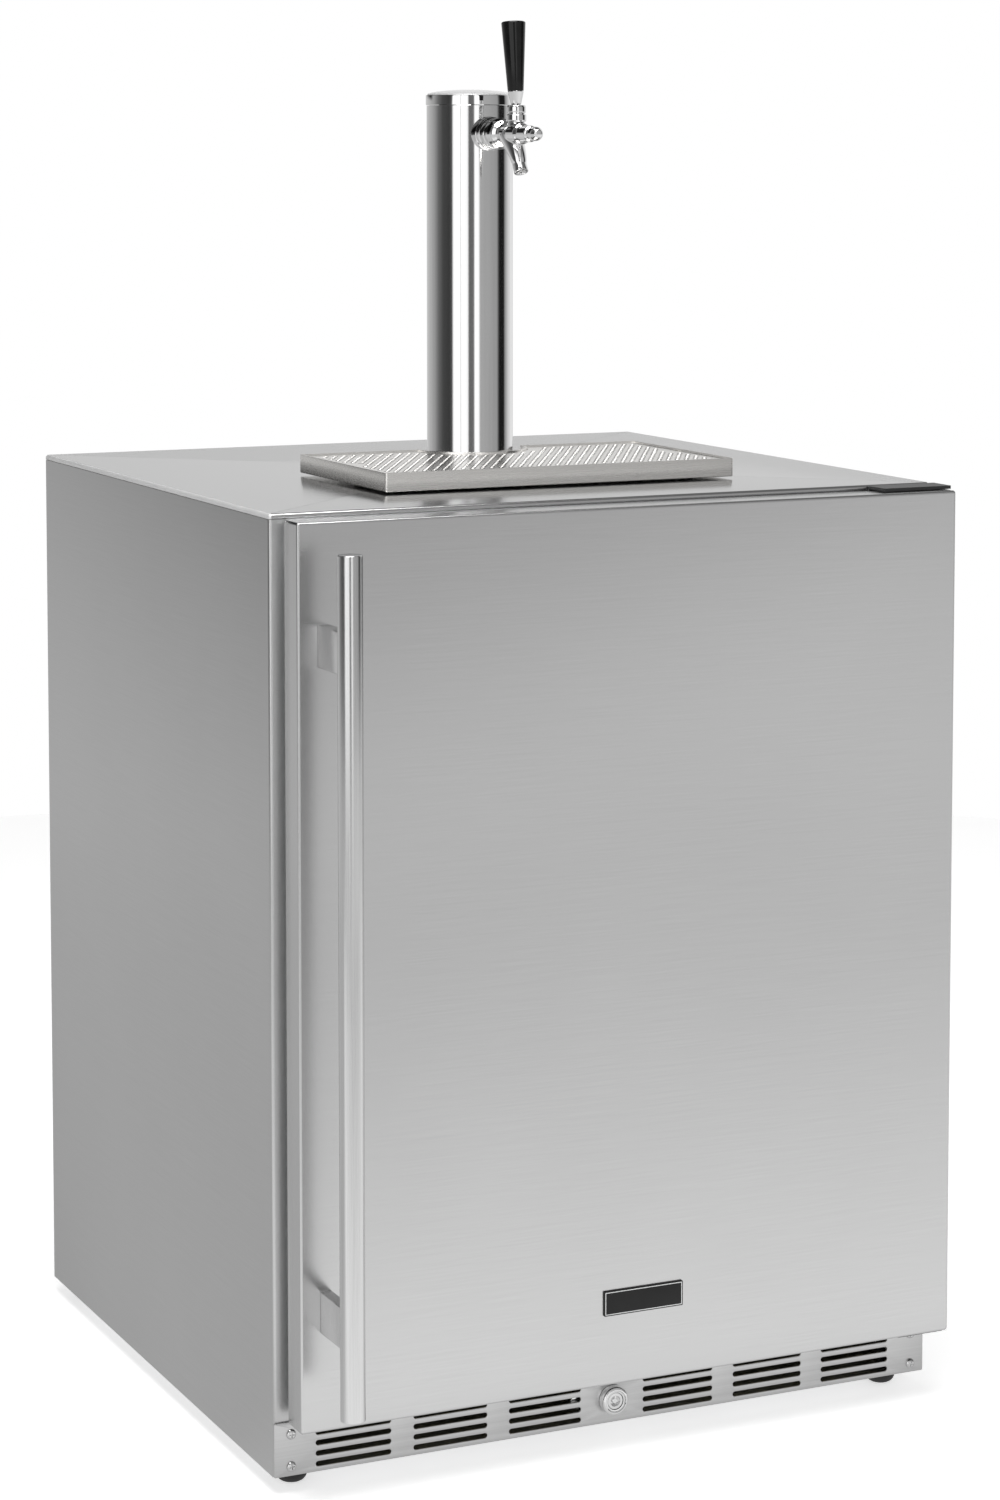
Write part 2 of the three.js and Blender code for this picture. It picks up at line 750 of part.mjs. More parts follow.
function tapHandle() {
  const z0 = 16.6;
  const z1 = 76.3;
  const profile = [[0, z0], [6.9, z0], [10.4, z1 - 1.5], [9.4, z1 - 0.2], [8, z1], [0, z1]];
  return leaning(turned(profile, 24)).translate(0, LEVER_Y, PIVOT_Z);
}

add("tower_column", towerColumn(), polishedSteel);
add("tower_cap", towerCap(), chrome);
add("shank", shank(), chrome);
add("shank_collar", shankCollar(), chrome);
add("coupling_nut", couplingNut(), chrome);
add("faucet_body", faucetBody(), chrome);
add("faucet_bonnet", faucetBonnet(), chrome);
add("faucet_shaft", faucetShaft(), chrome);
add("faucet_lever", faucetLever(), chrome);
add("tap_handle", tapHandle(), blackPlastic);

// ---------------------------------------------------------------- drip tray

// The tray's outline, inset all round, with its bite around the tower.
function trayOutline(inset) {
  const half = TRAY_WIDTH / 2 - inset;
  const radius = TRAY_NOTCH + inset;
  const back = TRAY_BACK - inset;
  const meet = Math.acos(-back / radius);
  const outline = new THREE.Shape();
  outline.moveTo(-half, TRAY_FRONT + inset);
  outline.lineTo(half, TRAY_FRONT + inset);
  outline.lineTo(half, back);
  outline.lineTo(radius * Math.sin(meet), back);
  outline.absarc(0, 0, radius, -Math.PI / 2 + meet, -Math.PI / 2 - meet, true);
  outline.lineTo(-half, back);
  outline.closePath();
  return outline;
}

const TRAY_FLOOR = TOP + GAP + TRAY_FEET;
const GRID_TOP = TRAY_FLOOR + TRAY_HEIGHT - 1.6;
const GRID_SHEET = 1.2;

function dripPan() {
  const rim = TRAY_FLOOR + TRAY_HEIGHT;
  const outside = raised(trayOutline(0), TRAY_FLOOR, rim);
  const inside = raised(trayOutline(TRAY_SHEET + 0.4), TRAY_FLOOR + TRAY_SHEET, rim + 5);
  const feet = [-130, 130].flatMap((x) => [-166, -60].map((y) => {
    return rod(6, TOP + GAP, TRAY_FLOOR + 0.5, 10).translate(x, y, 0);
  }));
  return join(cut(outside, inside), ...feet);
}

function dripGrid() {
  const plate = raised(trayOutline(TRAY_SHEET + 0.7), GRID_TOP - GRID_SHEET, GRID_TOP);
  const low = TRAY_FLOOR + TRAY_SHEET + GAP;
  const legs = [-120, 120].flatMap((x) => [-156, -70].map((y) => {
    return block(x - 4, x + 4, y - 4, y + 4, low, GRID_TOP - GRID_SHEET / 2);
  }));
  const notches = [-1, 1].map((side) => {
    return rod(9, GRID_TOP - 5, GRID_TOP + 5, 20).translate(side * (TRAY_WIDTH / 2 - 2), -95, 0);
  });
  return cut(join(plate, ...legs), ...notches);
}

add("drip_pan", dripPan(), brushedSteel);
add("drip_grid", dripGrid(), brushedSteel);

// ---------------------------------------------------------------- cooling machine

const FAN_Y = 170;
const FAN_Z = 95;

function compressor() {
  const can = turned([
    [0, 30],
    [52, 30],
    [70, 44],
    [74, 80],
    [74, 118],
    [66, 146],
    [44, 162],
    [0, 168],
  ], 24);
  const plate = block(-95, 95, -60, 60, BASE + SHEET + GAP, 20);
  const stand = rod(48, 18, 34, 24);
  return join(can, plate, stand).translate(-140, 165, 0);
}

// Fins, end plates and the ring around the fan, with the motor on its arms.
function condenser() {
  const x0 = 90;
  const body = block(x0, x0 + 50, FAN_Y - 80, FAN_Y + 80, 22, 168);
  const fins = [];
  for (let i = 0; i < 7; i += 1) {
    const z = 36 + 18.5 * i;
    fins.push(block(x0 + 4, x0 + 46, FAN_Y - 76, FAN_Y + 90, z, z + 8));
  }
  const foot = block(x0, x0 + 50, FAN_Y - 70, FAN_Y + 70, BASE + SHEET + GAP, 24);
  const motor = towardsRight(rod(17, x0 - 14, x0 + 2, 20)).translate(0, FAN_Y, FAN_Z);
  return join(cut(body, ...fins), foot, motor);
}

// A hub with flat blades set at an angle, turning about +Z.
function fan(hub, tip, depth, blades) {
  const pieces = [rod(hub, -depth / 2, depth / 2, 16)];
  for (let i = 0; i < blades; i += 1) {
    const length = tip - hub + 2;
    const blade = new THREE.BoxGeometry(length, tip * 0.55, 1.6);
    blade.rotateX(0.42).translate(hub - 2 + length / 2, 0, 0);
    pieces.push(blade.rotateZ((2 * Math.PI * i) / blades));
  }
  return join(...pieces);
}

function condenserFan() {
  return towardsRight(fan(14, 62, 14, 5)).translate(68, FAN_Y, FAN_Z);
}

function powerInlet() {
  const shell = block(202.3, 229.7, BACK - 22, BACK, 60.3, 81.7);
  return cut(shell, block(206, 226, BACK - 16, BACK + 5, 64, 78));
}

const EVAPORATOR_FAN_Z = 610;

function evaporatorCover() {
  const y0 = 212;
  const y1 = CAVITY_BACK - GAP;
  const shell = block(-205, 75, y0, y1, 470, 735);
  const hollow = block(-202, 72, y0 + 2.5, y1 + 5, 473, 732);
  const openings = [];
  for (let i = -4; i <= 4; i += 1) {
    const z = EVAPORATOR_FAN_Z + 10 * i;
    const half = Math.sqrt(46 * 46 - 100 * i * i);
    openings.push(block(-65 - half, -65 + half, y0 - 5, y0 + 5, z - 3, z + 3));
  }
  return cut(shell, hollow, ...openings);
}

function evaporatorFan() {
  return towardsFront(fan(13, 43, 9, 5)).translate(-65, 225, EVAPORATOR_FAN_Z);
}

const KNOB_Y = -170;
const KNOB_Z = 705;

function controlHousing() {
  const x1 = CAVITY_SIDE - GAP;
  return block(226, x1, -215, -95, 670, 740);
}

function thermostatKnob() {
  const profile = [[0, 0], [17, 0], [16, 9], [14, 11], [0, 11]];
  const knob = turned(profile, 24);
  const grip = block(-3, 3, -14, 14, 8, 15);
  return join(knob, grip).rotateY(-Math.PI / 2).translate(226 - GAP, KNOB_Y, KNOB_Z);
}

add("compressor", compressor(), blackPaint);
add("condenser", condenser(), copper);
add("condenser_fan", condenserFan(), blackPlastic);
add("power_inlet", powerInlet(), blackPlastic);
add("evaporator_cover", evaporatorCover(), whitePlastic);
add("evaporator_fan", evaporatorFan(), blackPlastic);
add("control_housing", controlHousing(), whitePlastic);
add("thermostat_knob", thermostatKnob(), greyPlastic);

// ---------------------------------------------------------------- gas and beer equipment

function gasCylinder() {
  const profile = [
    [0, 0],
    [50, 0],
    [62, 5],
    [CYLINDER_RADIUS, 16],
    [CYLINDER_RADIUS, 300],
    [60, 338],
    [40, 362],
    [18, 374],
    [15, 384],
    [15, 424],
    [6, 424],
    [6, 430],
    [0, 430],
  ];
  const outlet = towardsRight(rod(9, -30, 0, 12)).translate(0, 0, 404);
  return join(turned(profile, 24), outlet).translate(CYLINDER_X, CYLINDER_Y, CYLINDER_BASE);
}

function valveKnob() {
  const wheel = turned([[0, 430.3], [21, 430.3], [23, 434], [23, 440], [19, 444], [0, 444]], 16);
  const flutes = [];
  for (let i = 0; i < 8; i += 1) {
    const angle = (2 * Math.PI * i) / 8;
    flutes.push(rod(4, 420, 450, 8).translate(25 * Math.cos(angle), 25 * Math.sin(angle), 0));
  }
  return cut(wheel, ...flutes).translate(CYLINDER_X, CYLINDER_Y, CYLINDER_BASE);
}

const REGULATOR_X = 72;

// Inlet nut and stem, body, two gauges and the barb for the gas line.
function regulator() {
  const nut = towardsRight(rod(14, 101, CYLINDER_X - 30 - GAP, 6));
  const stem = towardsRight(rod(7, REGULATOR_X, 103, 16));
  const body = towardsFront(rod(25, -20, 22, 20)).translate(REGULATOR_X, 0, 0);
  const highGauge = towardsFront(rod(24, -8, 14, 20)).translate(REGULATOR_X, 0, 54);
  const highStem = rod(5, 20, 36, 12).translate(REGULATOR_X, 0, 0);
  const lowGauge = towardsFront(rod(24, -8, 14, 20)).translate(REGULATOR_X - 56, 0, 0);
  const lowStem = towardsRight(rod(5, REGULATOR_X - 38, REGULATOR_X - 20, 12));
  const barb = rod(4.5, -44, -20, 16).translate(REGULATOR_X, 0, 0);
  const pieces = [nut, stem, body, highGauge, highStem, lowGauge, lowStem, barb];
  return join(...pieces).translate(0, CYLINDER_Y, VALVE_Z);
}

function regulatorKnob() {
  const profile = [[0, 22.3], [17, 22.3], [15, 44], [13, 47], [0, 47]];
  return towardsFront(turned(profile, 24)).translate(REGULATOR_X, CYLINDER_Y, VALVE_Z);
}

const HANDLE_PIVOT_Y = KEG_Y - 26;
const HANDLE_PIVOT_Z = KEG_TOP + 37;
const GAS_INLET_Z = KEG_TOP + 24;

function couplerBody() {
  const z0 = KEG_TOP + GAP;
  const profile = [
    [8.6, z0],
    [32, z0],
    [32, z0 + 10],
    [21, z0 + 14],
    [19, z0 + 26],
    [14, z0 + 30],
    [8.6, z0 + 30],
    [8.6, z0],
  ];
  const body = turned(profile, 20);
  const barb = towardsRight(rod(5, 16, 42, 10)).translate(0, 0, GAS_INLET_Z);
  const pivot = HANDLE_PIVOT_Y - KEG_Y;
  const ears = [-1, 1].map((side) => {
    const x = side * 8;
    return block(x - 1.6, x + 1.6, pivot - 5, -14, HANDLE_PIVOT_Z - 12, HANDLE_PIVOT_Z + 5);
  });
  const pinHole = towardsRight(rod(2.4, -20, 20, 10)).translate(0, pivot, HANDLE_PIVOT_Z);
  const bore = rod(8.6, z0 - 5, z0 + 50, 20);
  return cut(join(body, barb, ...ears), pinHole, bore).translate(0, KEG_Y, 0);
}

// The lever, with the pin that turns in the body's ears.
function couplerHandle() {
  const arm = block(-5, 5, -76, 4, -3, 4);
  const grip = block(-7, 7, -82, -40, -5, 5);
  const pin = towardsRight(rod(2, -9.6, 9.6, 12));
  return join(arm, grip, pin).translate(0, HANDLE_PIVOT_Y, HANDLE_PIVOT_Z);
}

const BEER_OUTLET_Z = KEG_TOP + 48;

function couplerProbe() {
  const stem = rod(8, KEG_TOP + 2, BEER_OUTLET_Z + 6, 24);
  const outlet = towardsFront(rod(5, -32, 0, 16)).translate(0, 0, BEER_OUTLET_Z);
  const bore = rod(3.5, KEG_TOP - 5, BEER_OUTLET_Z, 12);
  return cut(join(stem, outlet), bore).translate(0, KEG_Y, 0);
}

// From the probe's outlet, across under the ceiling, and up the tower to the shank's elbow.
const beerRoute = [
  [0, KEG_Y + 32.6, BEER_OUTLET_Z],
  [0, -82, BEER_OUTLET_Z],
  [0, -62, BEER_OUTLET_Z - 0.5],
  [0, -42, BEER_OUTLET_Z + 0.5],
  [0, -22, BEER_OUTLET_Z + 6],
  [0, -7, BEER_OUTLET_Z + 22],
  [0, -1, BEER_OUTLET_Z + 48],
  [0, 0, BEER_OUTLET_Z + 90],
  [0, 0, BEER_OUTLET_Z + 160],
  [0, 0, SHANK_Z - 110],
  [0, 0, SHANK_Z - 60],
  [0, 0, SHANK_Z - 32.6],
];

// From the regulator's barb, down, forward and up to the coupler's gas inlet.
const gasRoute = [
  [REGULATOR_X, CYLINDER_Y, VALVE_Z - 44.6],
  [REGULATOR_X, CYLINDER_Y, VALVE_Z - 58],
  [REGULATOR_X + 4, CYLINDER_Y - 14, VALVE_Z - 82],
  [REGULATOR_X + 16, CYLINDER_Y - 42, VALVE_Z - 80],
  [REGULATOR_X + 26, 62, VALVE_Z - 46],
  [REGULATOR_X + 28, 42, VALVE_Z + 10],
  [REGULATOR_X + 28, 30, VALVE_Z + 50],
  [REGULATOR_X + 29, 10, VALVE_Z + 78],
  [REGULATOR_X + 29, -24, GAS_INLET_Z - 1],
  [REGULATOR_X + 27, -60, GAS_INLET_Z],
  [REGULATOR_X + 20, -92, GAS_INLET_Z],
  [REGULATOR_X - 2, -124, GAS_INLET_Z],
  [56, KEG_Y, GAS_INLET_Z],
  [42.6, KEG_Y, GAS_INLET_Z],
];

add("co2_cylinder", gasCylinder(), aluminium);
add("cylinder_valve_knob", valveKnob(), blackPlastic);
add("regulator", regulator(), brass);
add("regulator_knob", regulatorKnob(), blackPlastic);
add("coupler_body", couplerBody(), chrome);
add("coupler_handle", couplerHandle(), blackPlastic);
add("coupler_probe", couplerProbe(), chrome);
add("beer_line", swept(beerRoute, 5.5, 8, 34), clearHose);
add("gas_line", swept(gasRoute, 5, 8, 36), redHose);

// ---------------------------------------------------------------- origin

const bounds = new THREE.Box3().setFromObject(group);
const centre = bounds.getCenter(new THREE.Vector3());
for (const mesh of group.children) {
  mesh.position.x -= centre.x;
  mesh.position.y -= centre.y;
  mesh.position.z -= bounds.min.z;
}

export default group;
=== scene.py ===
import json
import math

import bmesh
import bpy
from mathutils import Matrix, Vector, geometry


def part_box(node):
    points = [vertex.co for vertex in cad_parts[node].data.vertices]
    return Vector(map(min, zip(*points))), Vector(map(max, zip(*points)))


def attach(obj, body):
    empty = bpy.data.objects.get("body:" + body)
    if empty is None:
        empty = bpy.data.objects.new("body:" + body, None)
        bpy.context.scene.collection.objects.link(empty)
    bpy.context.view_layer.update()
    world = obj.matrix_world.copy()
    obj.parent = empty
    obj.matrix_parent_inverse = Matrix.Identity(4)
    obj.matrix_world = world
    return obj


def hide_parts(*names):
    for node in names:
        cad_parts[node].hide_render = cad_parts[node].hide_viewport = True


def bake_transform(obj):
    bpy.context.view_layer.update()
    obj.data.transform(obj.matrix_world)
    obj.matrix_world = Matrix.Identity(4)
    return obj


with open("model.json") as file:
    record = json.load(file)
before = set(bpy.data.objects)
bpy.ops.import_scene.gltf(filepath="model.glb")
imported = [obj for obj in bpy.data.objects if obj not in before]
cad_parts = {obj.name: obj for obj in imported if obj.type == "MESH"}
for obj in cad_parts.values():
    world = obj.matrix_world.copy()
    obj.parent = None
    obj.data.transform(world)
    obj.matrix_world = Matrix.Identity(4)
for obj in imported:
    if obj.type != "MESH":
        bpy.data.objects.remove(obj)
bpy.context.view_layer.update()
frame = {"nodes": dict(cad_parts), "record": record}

# ------------------------------------------------------------------ places
# Lengths below are millimetres from the tower's axis (x, y) and the floor (z), and a place is
# turned into metres of the row frame by at().

MM = 0.001


def centre(node):
    low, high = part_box(node)
    return (low + high) / 2


AXIS = centre("tower_column")


def at(x, y, z):
    return Vector((AXIS.x + x * MM, AXIS.y + y * MM, z * MM))


def span(node):
    """A node's box as ((x0, x1), (y0, y1), (z0, z1)), in millimetres from the tower's axis."""
    low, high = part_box(node)
    offsets = (AXIS.x, AXIS.y, 0.0)
    return [((low[i] - offsets[i]) / MM, (high[i] - offsets[i]) / MM) for i in range(3)]


# ------------------------------------------------------------------ materials


def node(tree, kind, **values):
    """A new shader node with its inputs or settings filled in."""
    made = tree.nodes.new(kind)
    for key, value in values.items():
        if key in made.inputs:
            made.inputs[key].default_value = value
        else:
            setattr(made, key, value)
    return made


def ramp(tree, stops, factor):
    """A colour ramp through (position, colour) stops, from 0 to 1."""
    made = tree.nodes.new("ShaderNodeValToRGB")
    elements = made.color_ramp.elements
    while len(elements) < len(stops):
        elements.new(0.5)
    for element, (position, colour) in zip(elements, stops):
        element.position = position
        element.color = (*colour, 1.0)
    tree.links.new(factor, made.inputs["Fac"])
    return made.outputs["Color"]


BLOTCH = 9.0  # scale of the slow drift
BLOTCH_SHARE = 0.25  # of the slow drift in the mix with the grain


def surface(
    name,
    dark,
    light,
    rough,
    metallic=0.0,
    grain=(900, 900, 900),
    spread=0.04,
    bump=0.15,
    depth=0.00005,
    specular=0.5,
):
    """A colour between dark and light, a bump from a stretched grain and a slow drift."""
    made = bpy.data.materials.new(name)
    made.use_nodes = True
    tree = made.node_tree
    shader = tree.nodes["Principled BSDF"]
    shader.inputs["Metallic"].default_value = metallic
    shader.inputs["Specular IOR Level"].default_value = specular
    place = tree.nodes.new("ShaderNodeTexCoord")
    scale = node(tree, "ShaderNodeMapping", Scale=grain)
    tree.links.new(place.outputs["Object"], scale.inputs["Vector"])
    fine = node(tree, "ShaderNodeTexNoise", Scale=1.0, Detail=3.0, Roughness=0.6)
    tree.links.new(scale.outputs["Vector"], fine.inputs["Vector"])
    slow = node(tree, "ShaderNodeTexNoise", Scale=BLOTCH, Detail=2.0)
    tree.links.new(place.outputs["Object"], slow.inputs["Vector"])
    mixed = node(tree, "ShaderNodeMath", operation="MULTIPLY_ADD")
    mixed.inputs[1].default_value = 1 - BLOTCH_SHARE
    tree.links.new(fine.outputs["Fac"], mixed.inputs[0])
    drifting = node(tree, "ShaderNodeMath", operation="MULTIPLY")
    drifting.inputs[1].default_value = BLOTCH_SHARE
    tree.links.new(slow.outputs["Fac"], drifting.inputs[0])
    tree.links.new(drifting.outputs["Value"], mixed.inputs[2])
    colour = ramp(tree, [(0.3, dark), (0.7, light)], mixed.outputs["Value"])
    tree.links.new(colour, shader.inputs["Base Color"])
    drift = node(tree, "ShaderNodeMapRange")
    drift.inputs["To Min"].default_value = max(0.02, rough - spread)
    drift.inputs["To Max"].default_value = rough + spread
    tree.links.new(mixed.outputs["Value"], drift.inputs["Value"])
    tree.links.new(drift.outputs["Result"], shader.inputs["Roughness"])
    relief = node(tree, "ShaderNodeBump", Strength=bump, Distance=depth)
    tree.links.new(fine.outputs["Fac"], relief.inputs["Height"])
    tree.links.new(relief.outputs["Normal"], shader.inputs["Normal"])
    return made


def grey(value, tint=(1.0, 1.0, 1.0)):
    return tuple(value * t for t in tint)


COOL = (0.985, 0.995, 1.015)
WARM = (1.02, 1.0, 0.97)
# Brushed steel's grain is long along one axis.
ALONG_X = (14, 700, 1500)
ALONG_Y = (700, 14, 1500)
ALONG_Z = (1500, 1500, 14)
TOP_GRAIN = (14, 1500, 700)

MATERIALS = {
    "stainless_side": surface(
        "stainless_side", grey(0.585), grey(0.635), 0.34, 1.0, ALONG_Y, 0.03, 0.12
    ),
    "stainless_top": surface(
        "stainless_top", grey(0.62), grey(0.66), 0.20, 1.0, TOP_GRAIN, 0.03, 0.07
    ),
    "stainless_panel": surface(
        "stainless_panel", grey(0.56, COOL), grey(0.64, COOL), 0.34, 1.0, ALONG_X, 0.05, 0.2
    ),
    "stainless_door": surface(
        "stainless_door", grey(0.605), grey(0.645), 0.26, 1.0, ALONG_X, 0.02, 0.08
    ),
    "stainless_grille": surface(
        "stainless_grille", grey(0.56), grey(0.63), 0.30, 1.0, ALONG_X, 0.04, 0.15
    ),
    "handle_steel": surface(
        "handle_steel", grey(0.64), grey(0.72), 0.20, 1.0, ALONG_Z, 0.05, 0.12
    ),
    "tray_steel": surface(
        "tray_steel", grey(0.84, WARM), grey(0.92, WARM), 0.27, 1.0, ALONG_X, 0.04, 0.15
    ),
    "polished_steel": surface(
        "polished_steel", grey(0.76), grey(0.82), 0.09, 1.0, (300, 300, 6), 0.02, 0.03
    ),
    "chrome_plate": surface(
        "chrome_plate", grey(0.82), grey(0.87), 0.05, 1.0, (60, 60, 60), 0.015, 0.02
    ),
    # The rings' chrome, with a painted reflection added to its colour below.
    "chrome_ring_painted_reflection": surface(
        "chrome_ring_painted_reflection", grey(0.82), grey(0.87), 0.06, 1.0, (60, 60, 60), 0.015, 0.02
    ),
    "satin_chrome": surface(
        "satin_chrome", grey(0.84), grey(0.90), 0.42, 0.7, (60, 60, 60), 0.02, 0.03
    ),
    # Lighter and rougher than the sheets: a ground edge finish with a painted highlight.
    "ground_edge_painted_highlight": surface(
        "ground_edge_painted_highlight", grey(0.80), grey(0.88), 0.5, 0.45, (60, 60, 60), 0.03, 0.05
    ),
    "galvanised_sheet": surface(
        "galvanised_sheet", grey(0.34, COOL), grey(0.52, COOL), 0.45, 0.9, (55, 55, 55), 0.08, 0.1
    ),
    "insulation_foam": surface(
        "insulation_foam",
        (0.62, 0.55, 0.33), (0.78, 0.72, 0.48),
        0.9, 0.0, (400, 400, 400), 0.05, 0.8, 0.0006,
    ),
    "white_liner": surface(
        "white_liner",
        (0.80, 0.81, 0.81), (0.88, 0.89, 0.89),
        0.34, 0.0, (700, 700, 700), 0.06, 0.25, 0.0001,
    ),
    "black_gloss": surface(
        "black_gloss", grey(0.004), grey(0.009), 0.12, 0.0, (90, 90, 90), 0.03, 0.04, specular=0.33
    ),
    "black_rubber": surface(
        "black_rubber", grey(0.012), grey(0.03), 0.62, 0.0, (900, 900, 900), 0.08, 0.4, 0.0001
    ),
    "black_paint": surface(
        "black_paint",
        grey(0.015, COOL), grey(0.035, COOL),
        0.42, 0.2, (1300, 1300, 1300), 0.06, 0.35,
    ),
    "fan_plastic": surface(
        "fan_plastic", grey(0.02), grey(0.045), 0.5, 0.0, (1200, 1200, 1200), 0.06, 0.3
    ),
    "grey_knob": surface(
        "grey_knob", grey(0.30), grey(0.40), 0.5, 0.0, (1400, 1400, 1400), 0.06, 0.35
    ),
    "condenser_metal": surface(
        "condenser_metal",
        (0.5, 0.46, 0.42), (0.66, 0.62, 0.58),
        0.38, 1.0, (60, 60, 900), 0.08, 0.3,
    ),
    "cylinder_aluminium": surface(
        "cylinder_aluminium",
        grey(0.58, COOL), grey(0.68, COOL),
        0.36, 1.0, (30, 30, 1200), 0.06, 0.25,
    ),
    "brass_fittings": surface(
        "brass_fittings",
        (0.60, 0.42, 0.17), (0.76, 0.58, 0.27),
        0.26, 1.0, (500, 500, 500), 0.08, 0.15,
    ),
    "clear_hose": surface(
        "clear_hose", (0.72, 0.77, 0.77), (0.84, 0.88, 0.88), 0.16, 0.0, (120, 120, 120), 0.04, 0.1
    ),
    "red_hose": surface(
        "red_hose", (0.28, 0.015, 0.015), (0.42, 0.04, 0.035), 0.36, 0.0, (300, 300, 300), 0.06, 0.2
    ),
    "grille_shadow": surface(
        "grille_shadow", grey(0.004), grey(0.01), 0.8, 0.0, (400, 400, 400), 0.05, 0.2
    ),
}


def darkened_above(material, stops):
    """Multiplies a material's colour by a ramp over how far its surface faces up, from -1 to 1."""
    tree = material.node_tree
    shader = tree.nodes["Principled BSDF"]
    colour = shader.inputs["Base Color"].links[0].from_socket
    shape = tree.nodes.new("ShaderNodeNewGeometry")
    split = tree.nodes.new("ShaderNodeSeparateXYZ")
    tree.links.new(shape.outputs["Normal"], split.inputs["Vector"])
    upward = node(tree, "ShaderNodeMapRange")
    upward.inputs["From Min"].default_value = -1.0
    tree.links.new(split.outputs["Z"], upward.inputs["Value"])
    tone = ramp(tree, [((z + 1) / 2, (value,) * 3) for z, value in stops], upward.outputs["Result"])
    mixed = tree.nodes.new("ShaderNodeVectorMath")
    mixed.operation = "MULTIPLY"
    tree.links.new(colour, mixed.inputs[0])
    tree.links.new(tone, mixed.inputs[1])
    tree.links.new(mixed.outputs["Vector"], shader.inputs["Base Color"])


# Painted reflection: the rings behind the faucet are darkened facing up, as if mirroring a black
# bar.
darkened_above(
    MATERIALS["chrome_ring_painted_reflection"], [(-0.02, 1.0), (0.1, 0.03), (0.9, 0.03), (0.97, 0.25)]
)
hose_shader = MATERIALS["clear_hose"].node_tree.nodes["Principled BSDF"]
hose_shader.inputs["Transmission Weight"].default_value = 0.55

for part in frame["record"]["subparts"]:
    cad_mesh = frame["nodes"][part["node"]].data
    cad_mesh.materials.clear()
    cad_mesh.materials.append(MATERIALS[part["material_slot"]])

# ------------------------------------------------------------------ outlines


def fillet(corners, steps=5, closed=True):
    """The outline through (x, y[, radius]) corners, with each corner that has a radius rounded."""
    made = []
    count = len(corners)
    for i, corner in enumerate(corners):
        point = Vector(corner[:2])
        radius = corner[2] if len(corner) > 2 else 0.0
        if radius == 0.0 or (not closed and i in (0, count - 1)):
            made.append(tuple(point))
            continue
        back = (Vector(corners[i - 1][:2]) - point).normalized()
        ahead = (Vector(corners[(i + 1) % count][:2]) - point).normalized()
        half = math.acos(max(-1.0, min(1.0, back.dot(ahead)))) / 2
        middle = point + (back + ahead).normalized() * (radius / math.sin(half))
        first = point + back * (radius / math.tan(half)) - middle
        last = point + ahead * (radius / math.tan(half)) - middle
        start = math.atan2(first.y, first.x)
        turn = math.atan2(last.y, last.x) - start
        turn = (turn + math.pi) % (2 * math.pi) - math.pi
        for k in range(steps + 1):
            angle = start + turn * k / steps
            made.append((middle.x + radius * math.cos(angle), middle.y + radius * math.sin(angle)))
    return made


def inset(outline, distance):
    """An anticlockwise outline moved inwards by distance."""
    if distance == 0:
        return list(outline)
    count = len(outline)
    made = []
    for i in range(count):
        before = Vector(outline[i - 1])
        here = Vector(outline[i])
        after = Vector(outline[(i + 1) % count])
        first = (here - before).normalized()
        second = (after - here).normalized()
        left_first = Vector((-first.y, first.x))
        left_second = Vector((-second.y, second.x))
        bisector = left_first + left_second
        scale = distance * 2 / max(0.3, bisector.length_squared)
        made.append(tuple(here + bisector * scale))
    return made


def rectangle(x0, x1, y0, y1, radius=0.0, steps=5):
    return fillet([(x0, y0, radius), (x1, y0, radius), (x1, y1, radius), (x0, y1, radius)], steps)


def circle(x, y, radius, sides=24):
    turns = [2 * math.pi / sides * i for i in range(sides)]
    return [(x + radius * math.cos(turn), y + radius * math.sin(turn)) for turn in turns]


def slot_outline(x, y, length, height, steps=6):
    radius = height / 2
    return rectangle(x - length / 2, x + length / 2, y - radius, y + radius, radius * 0.999, steps)


def rounded_edge(z_flat, z_side, radius, steps=4):
    """Levels from a face at z_flat to a side that starts radius away from it, towards z_side."""
    way = 1 if z_side > z_flat else -1
    made = []
    for k in range(steps + 1):
        angle = math.pi / 2 * k / steps
        made.append((z_flat + way * radius * (1 - math.cos(angle)), radius * (1 - math.sin(angle))))
    return made


# ------------------------------------------------------------------ solids
# A shape is (points, faces) in millimetres.

UPRIGHT = Matrix.Identity(4)
FORWARD = Matrix(((1, 0, 0, 0), (0, 0, -1, 0), (0, 1, 0, 0), (0, 0, 0, 1)))
RIGHTWARD = Matrix(((0, 0, 1, 0), (0, 1, 0, 0), (-1, 0, 0, 0), (0, 0, 0, 1)))


def moved(shape, matrix=UPRIGHT, x=0.0, y=0.0, z=0.0):
    points, faces = shape
    return [matrix @ Vector(p) + Vector((x, y, z)) for p in points], faces


def joined(*shapes):
    points, faces = [], []
    for more_points, more_faces in shapes:
        base = len(points)
        points += list(more_points)
        faces += [[i + base for i in face] for face in more_faces]
    return points, faces


def prism(outline, levels):
    """An outline carried through (z, inset) levels, closed at both ends."""
    points, faces = [], []
    count = len(outline)
    for z, distance in levels:
        points += [(px, py, z) for px, py in inset(outline, distance)]
    for level in range(len(levels) - 1):
        low, high = level * count, (level + 1) * count
        for i in range(count):
            j = (i + 1) % count
            faces.append([low + i, low + j, high + j, high + i])
    faces.append(list(range(count))[::-1])
    faces.append([(len(levels) - 1) * count + i for i in range(count)])
    return points, faces


def slab(outline, z0, z1, edge=0.4, steps=3):
    """An outline between two heights with rounded edges."""
    low = rounded_edge(z0, z1, edge, steps)
    high = rounded_edge(z1, z0, edge, steps)[::-1]
    return prism(outline, low + high)


def block(x0, x1, y0, y1, z0, z1, edge=0.4, corner=None):
    corner = edge if corner is None else corner
    return slab(rectangle(x0, x1, y0, y1, corner, 3), z0, z1, edge)


